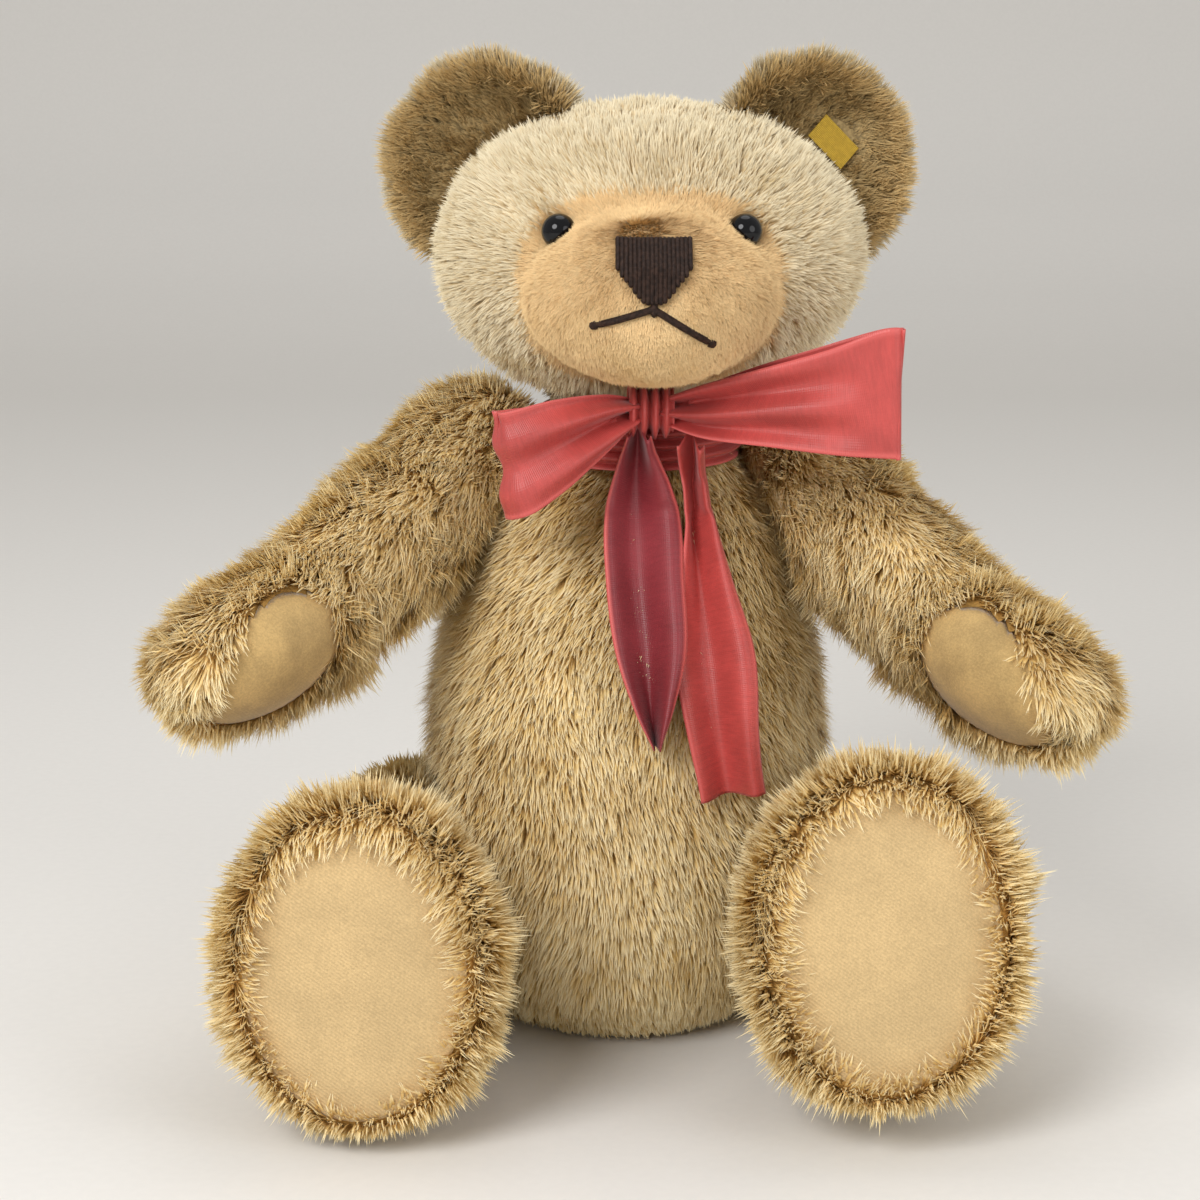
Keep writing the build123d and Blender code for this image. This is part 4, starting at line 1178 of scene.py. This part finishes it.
class BEAR_OT_arms(bpy.types.Operator):
    """Make both arms, their hair and their paw pads"""
    bl_idname = "bear.arms"
    bl_label = "Arms"

    def execute(self, context):
        s = mohair()
        p = context.scene.bear_pads
        paw = felt("paw_felt", p.felt, tuple(c * 0.7 for c in p.felt), 0.2)
        for side in SIDES:
            cover = f"{side}_arm_cover"
            stuffing = f"{side}_arm_stuffing"
            skin, pad = limb_hair(side, "arm", f"{side}_paw_pad", f"{side}_arm_disc",
                                  [cover, f"{side}_paw_pad", stuffing, f"{side}_arm_disc"], s)
            dress_skin(skin, f"{side}_arm", [cover, stuffing], s.root,
                       tuple(c * 0.6 for c in s.root))
            piece = pad_mesh(f"{side}_paw_felt", pad, p.thickness, p.crown, 0.00022, [])
            piece.data.materials.append(paw)
            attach(piece, f"{side}_arm")
            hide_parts(f"{side}_paw_pad")
        return {"FINISHED"}


class BEAR_OT_legs(bpy.types.Operator):
    """Make both legs, their hair and their soles"""
    bl_idname = "bear.legs"
    bl_label = "Legs"

    def execute(self, context):
        s = mohair()
        p = context.scene.bear_pads
        sole = felt("sole_velour", p.velour, tuple(c * 0.88 for c in p.velour), 1.0)
        for side in SIDES:
            cover = f"{side}_leg_cover"
            stuffing = f"{side}_leg_stuffing"
            skin, pad = limb_hair(side, "leg", f"{side}_sole", f"{side}_leg_disc",
                                  [cover, f"{side}_sole", stuffing, f"{side}_leg_disc"], s)
            dress_skin(skin, f"{side}_leg", [cover, stuffing], s.root,
                       tuple(c * 0.6 for c in s.root))
            gathers = [(math.radians(112), 0.0022, 0.05), (math.radians(62), 0.0022, 0.05)]
            if side == "left":
                gathers = [(math.radians(20), 0.0014, 0.05)]
            piece = pad_mesh(f"{side}_sole_velour", pad, p.thickness, p.crown, 0.00018, gathers)
            piece.data.materials.append(sole)
            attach(piece, f"{side}_leg")
            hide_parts(f"{side}_sole")
        return {"FINISHED"}


def tube_strands(name, paths, radius, material):
    """Round threads along paths of points, as one mesh."""
    curve = bpy.data.curves.new(name, "CURVE")
    curve.dimensions = "3D"
    curve.bevel_depth = radius
    curve.bevel_resolution = 2
    curve.use_fill_caps = True
    for path in paths:
        spline = curve.splines.new("NURBS")
        spline.points.add(len(path) - 1)
        for point, place in zip(spline.points, path):
            point.co = (*place, 1.0)
        spline.order_u = 3
        spline.use_endpoint_u = True
        spline.resolution_u = 6
    holder = bpy.data.objects.new(name, curve)
    bpy.context.scene.collection.objects.link(holder)
    graph = bpy.context.evaluated_depsgraph_get()
    mesh = bpy.data.meshes.new_from_object(holder.evaluated_get(graph))
    bpy.data.objects.remove(holder)
    mesh.materials.clear()
    mesh.materials.append(material)
    mesh.shade_smooth()
    return link_mesh(name, mesh)


class BEAR_OT_face(bpy.types.Operator):
    """Make eyes, nose, mouth and ear tag"""
    bl_idname = "bear.face"
    bl_label = "Face"

    def execute(self, context):
        f = context.scene.bear_face
        brown = thread_material("dark_brown_thread", f.brown, tuple(c * 3.0 for c in f.brown))
        for side in SIDES:
            low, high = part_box(f"{side}_eye")
            middle = (Vector(low) + Vector(high)) / 2
            radius = (high[0] - low[0]) / 2
            glass = glass_eye(f"{side}_eye_glass", (0.004, 0.004, 0.005), (0.10, 0.045, 0.015), middle,
                              radius)
            set_material(f"{side}_eye", glass)
        nose = frame["nodes"]["nose_stitching"]
        points = points_of(nose.data)
        nose.data.calc_loop_triangles()
        tris = [tuple(tri.vertices) for tri in nose.data.loop_triangles]
        tree = BVHTree.FromPolygons([Vector(p) for p in points], tris)
        low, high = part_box("nose_stitching")
        paths = []
        count = int((high[0] - low[0]) / (f.thread * 0.86))
        for number in range(count):
            x = low[0] + (high[0] - low[0]) * (number + 0.5) / count
            hits = []
            for rung in range(40):
                z = low[2] + (high[2] - low[2]) * (rung + 0.5) / 40
                hit = tree.ray_cast(Vector((x, low[1] - 0.02, z)), Vector((0, 1, 0)), 0.06)[0]
                if hit is not None:
                    hits.append(hit + Vector((0, -f.thread * 0.12, 0)))
            if len(hits) > 3:
                wobble = 0.00015 * math.sin(number * 2.3)
                first = hits[0] + Vector((0, 0.0012, 0.0004))
                last = hits[-1] + Vector((wobble, 0.0016, -0.0002))
                paths.append([first] + hits[::3] + [hits[-1], last])
        stitches = tube_strands("nose_threads", paths, f.thread * 0.56, brown)
        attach(stitches, "head")
        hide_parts("nose_stitching")
        skin = bpy.data.objects["head_skin"]
        muzzle = BVHTree.FromPolygons([Vector(p) for p in points_of(skin.data)],
                                      [tuple(face.vertices) for face in skin.data.polygons])
        corners = [((0.0004, -0.0105), (-0.0185, -0.0162)), ((-0.0004, -0.0105), (0.0182, -0.0222)),
                   ((0.0, -0.0085), (0.0, -0.0125))]
        paths = []
        knobs = []
        for start, end in corners:
            path = []
            for share in np.linspace(0, 1, 9):
                x = HEAD.x + start[0] + (end[0] - start[0]) * share
                z = HEAD.z + start[1] + (end[1] - start[1]) * share
                hit = muzzle.ray_cast(Vector((x, HEAD.y - 0.2, z)), Vector((0, 1, 0)), 0.2)[0]
                path.append(hit + Vector((0, -0.0011 + 0.0012 * (share > 0.95), 0)))
            paths.append(path)
            if end[0]:
                along = (path[-1] - path[-2]).normalized() * 0.0011
                knobs.append([path[-1] - along, path[-1] + Vector((0, -0.0007, 0)), path[-1] + along])
        mouth = tube_strands("mouth_threads", paths, f.mouth / 2, brown)
        ends = tube_strands("mouth_knots", knobs, f.mouth * 0.66, brown)
        for piece in (mouth, ends):
            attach(piece, "head")
        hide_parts("mouth_stitching")
        set_material("ear_tag", woven_tape("yellow_tape", (0.56, 0.37, 0.045), (0.42, 0.26, 0.03)))
        return {"FINISHED"}


def set_material(node, material):
    holder = frame["nodes"][node]
    for place in holder.material_slots:
        place.material = material
    if not holder.material_slots:
        raise RuntimeError(f"{node} has no material slot")


class BEAR_OT_bow(bpy.types.Operator):
    """Make the ribbon: neck band, knot, two loops and two tails"""
    bl_idname = "bear.bow"
    bl_label = "Bow"

    def execute(self, context):
        r = context.scene.bear_ribbon
        # rim: paler colour for the ribbon's edges, a painted highlight.
        rim = tuple(min(c * 1.25 + 0.03, 1.0) for c in r.red)
        red = satin("ribbon_satin", r.red, r.reverse, rim)
        chest = bpy.data.objects["torso_skin"]
        chest_tree = BVHTree.FromPolygons([Vector(p) for p in points_of(chest.data)],
                                          [tuple(face.vertices) for face in chest.data.polygons])
        loops = {
            "bow_left_loop": ([(5, -5, 0, 4.5), (18, -14, 1, 9), (38, -26, 4, 13), (60, -36, 7, 17.5),
                               (76, -41, 10, 21), (79.5, -38, 10, 21), (76, -34, 10, 20.5), (58, -24, 7, 17),
                               (36, -14, 4, 12), (14, -6, 1, 6)], (-0.02, 0.0, 1.0)),
            "bow_right_loop": ([(-5, -5, 0, 4.5), (-14, -14, -2, 9), (-28, -24, -7, 14), (-42, -29, -13, 17),
                                (-48, -27, -15, 18), (-50, -23.5, -15, 18), (-46, -20, -14, 17),
                                (-30, -13, -9, 13), (-13, -6, -2, 6)], (-0.12, 0.0, 1.0)),
        }
        for node, (stations, up) in loops.items():
            rows = along_stations(shifted(stations), 90)
            made, length = ribbon_mesh(f"{node}_ribbon", rows, up, r.width, 2, red, phase=0.6)
            finish_sheet(made, "torso", [node])
            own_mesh(made)
        tails = {
            "bow_right_tail": (edges_at([(-8, -7), (-15, -31), (-15, -55), (-12, -78), (-6, -96),
                                         (1, -110)]),
                               edges_at([(0, -7), (9, -38), (11, -58), (12, -78), (8, -96), (3, -111)]), 1.0,
                               0.0125),
            "bow_left_tail": (edges_at([(9, -9), (12, -31), (10, -55), (8, -81), (13, -110), (20, -136)]),
                              edges_at([(18, -11), (20, -35), (27, -58), (35, -82), (36, -104), (36, -121)]),
                              0.0, 0.0145),
        }
        for node, (left, right, reverse, stand) in tails.items():
            rows, ups = tail_rows(chest_tree, left, right, KNOT.y - 0.008, 100, stand)
            made, length = ribbon_mesh(f"{node}_ribbon", rows, ups, r.width, 1, red, reverse=reverse,
                                       phase=0.5, deep=0.75)
            finish_sheet(made, "torso", [node])
        knot = [(math.cos(a) * 0.3, -math.cos(a) * 8.5, math.sin(a) * 8.0, 7.5)
                for a in np.linspace(-2.6, 2.9, 15)]
        rows = along_stations(shifted(knot), 60)
        made, length = ribbon_mesh("bow_knot_ribbon", rows, (1.0, 0.0, 0.0), r.width, 4, red, phase=1.0,
                                   deep=0.95)
        finish_sheet(made, "torso", ["bow_knot"])
        low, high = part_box("bow_neck_band")
        middle = (Vector(low) + Vector(high)) / 2
        half_x = (high[0] - low[0]) / 2 - 0.001
        half_y = (high[1] - low[1]) / 2 - 0.001
        band = []
        for turn in np.linspace(-math.pi / 2, 1.5 * math.pi, 49):
            band.append((middle.x + half_x * math.cos(turn), middle.y + half_y * math.sin(turn),
                         middle.z, BAND_HALF_WIDTH))
        made, length = ribbon_mesh("bow_neck_band_ribbon", np.array(band), (0.0, 0.0, 1.0), r.width, 4, red,
                                   phase=0.3, deep=0.95)
        finish_sheet(made, "torso", ["bow_neck_band"])
        return {"FINISHED"}


class BEAR_OT_inside(bpy.types.Operator):
    """Give the joints and the growler inside their finishes"""
    bl_idname = "bear.inside"
    bl_label = "Joints and growler"

    def execute(self, context):
        disc = board("joint_board", (0.33, 0.20, 0.10), (0.22, 0.13, 0.06))
        card = board("growler_card", (0.45, 0.33, 0.20), (0.34, 0.24, 0.13))
        steel = metal("joint_steel", (0.55, 0.55, 0.56), 0.3, (0.40, 0.36, 0.32))
        lead = metal("growler_lead", (0.25, 0.25, 0.27), 0.55, (0.18, 0.18, 0.19))
        for node in frame["nodes"]:
            if node.endswith("_disc"):
                set_material(node, disc)
            elif "washer" in node or "cotter" in node or "shank" in node:
                set_material(node, steel)
            elif node in ("growler_can", "growler_lid", "growler_bellows"):
                set_material(node, card)
            elif node == "growler_weight":
                set_material(node, lead)
        return {"FINISHED"}


class BEAR_OT_stage(bpy.types.Operator):
    """Make floor, backdrop, lamps and camera"""
    bl_idname = "bear.stage"
    bl_label = "Stage"

    def execute(self, context):
        g = context.scene.bear_stage
        scene = context.scene
        work = bmesh.new()
        profile = [(-4.0, 0.0), (1.75, 0.0), (1.97, 0.015), (2.16, 0.07), (2.3, 0.18), (2.36, 0.38),
                   (2.36, 3.0)]
        rows = []
        for y, z in profile:
            rows.append([work.verts.new((x, y, z)) for x in (-4.5, 4.5)])
        for low, high in zip(rows, rows[1:]):
            face = work.faces.new((low[0], low[1], high[1], high[0]))
            face.smooth = True
        mesh = bpy.data.meshes.new("studio_floor")
        work.to_mesh(mesh)
        work.free()
        floor = link_mesh("studio_floor", mesh)
        floor.data.materials.append(plain_ground("studio_ground", g.ground))
        world = bpy.data.worlds.new("studio_air")
        world.use_nodes = True
        t = Tree(world.node_tree)
        world.node_tree.nodes.clear()
        seen = t.node("ShaderNodeLightPath", out="Is Camera Ray")
        strength = 0.5 + seen * 0.34
        air = t.node("ShaderNodeBackground", {"Color": (1.0, 0.985, 0.955, 1.0), "Strength": strength})
        t.node("ShaderNodeOutputWorld", {0: air})
        scene.world = world
        lamps = [("key", (-0.75, -1.25, 1.15), 0.9, 19.0), ("fill", (1.2, -1.1, 0.7), 1.1, 7.0),
                 ("top", (0.1, 0.3, 1.6), 0.9, 3.5)]
        for name, place, size, power in lamps:
            light = bpy.data.lights.new(name, "AREA")
            light.shape = "DISK"
            light.size = size
            light.energy = power
            lamp = bpy.data.objects.new(name, light)
            scene.collection.objects.link(lamp)
            lamp.location = place
            lamp.rotation_euler = (Vector((0, 0, 0.16)) - Vector(place)).to_track_quat("-Z", "Y").to_euler()
        camera = bpy.data.cameras.new("camera")
        camera.lens = g.lens
        camera.sensor_width = 36.0
        holder = bpy.data.objects.new("camera", camera)
        scene.collection.objects.link(holder)
        holder.location = (-0.005, -0.88033, 0.33712)
        holder.rotation_euler = (math.radians(78), 0.0, 0.0)
        scene.camera = holder
        scene.view_settings.view_transform = "Standard"
        return {"FINISHED"}


class BEAR_PT_panel(bpy.types.Panel):
    """The bear's pieces, in the order they are made"""
    bl_idname = "BEAR_PT_panel"
    bl_label = "Jointed Teddy Bear"
    bl_space_type = "VIEW_3D"
    bl_region_type = "UI"
    bl_category = "Bear"

    def draw(self, context):
        for operator in OPERATORS:
            self.layout.operator(operator.bl_idname)


SETTINGS = {
    "bear_mohair": MohairSettings,
    "bear_pads": PadSettings,
    "bear_face": FaceSettings,
    "bear_ribbon": RibbonSettings,
    "bear_stage": StageSettings,
}
OPERATORS = [BEAR_OT_torso, BEAR_OT_head, BEAR_OT_ears, BEAR_OT_arms, BEAR_OT_legs, BEAR_OT_face,
             BEAR_OT_bow, BEAR_OT_inside, BEAR_OT_stage]


def register():
    for settings in SETTINGS.values():
        bpy.utils.register_class(settings)
    for name, settings in SETTINGS.items():
        setattr(bpy.types.Scene, name, PointerProperty(type=settings))
    for operator in OPERATORS:
        bpy.utils.register_class(operator)
    bpy.utils.register_class(BEAR_PT_panel)


def unregister():
    bpy.utils.unregister_class(BEAR_PT_panel)
    for operator in reversed(OPERATORS):
        bpy.utils.unregister_class(operator)
    for name in SETTINGS:
        delattr(bpy.types.Scene, name)
    for settings in reversed(list(SETTINGS.values())):
        bpy.utils.unregister_class(settings)


def main():
    register()
    bpy.ops.bear.torso()
    bpy.ops.bear.head()
    bpy.ops.bear.ears()
    bpy.ops.bear.arms()
    bpy.ops.bear.legs()
    bpy.ops.bear.face()
    bpy.ops.bear.bow()
    bpy.ops.bear.inside()
    bpy.ops.bear.stage()


if __name__ == "__main__":
    main()
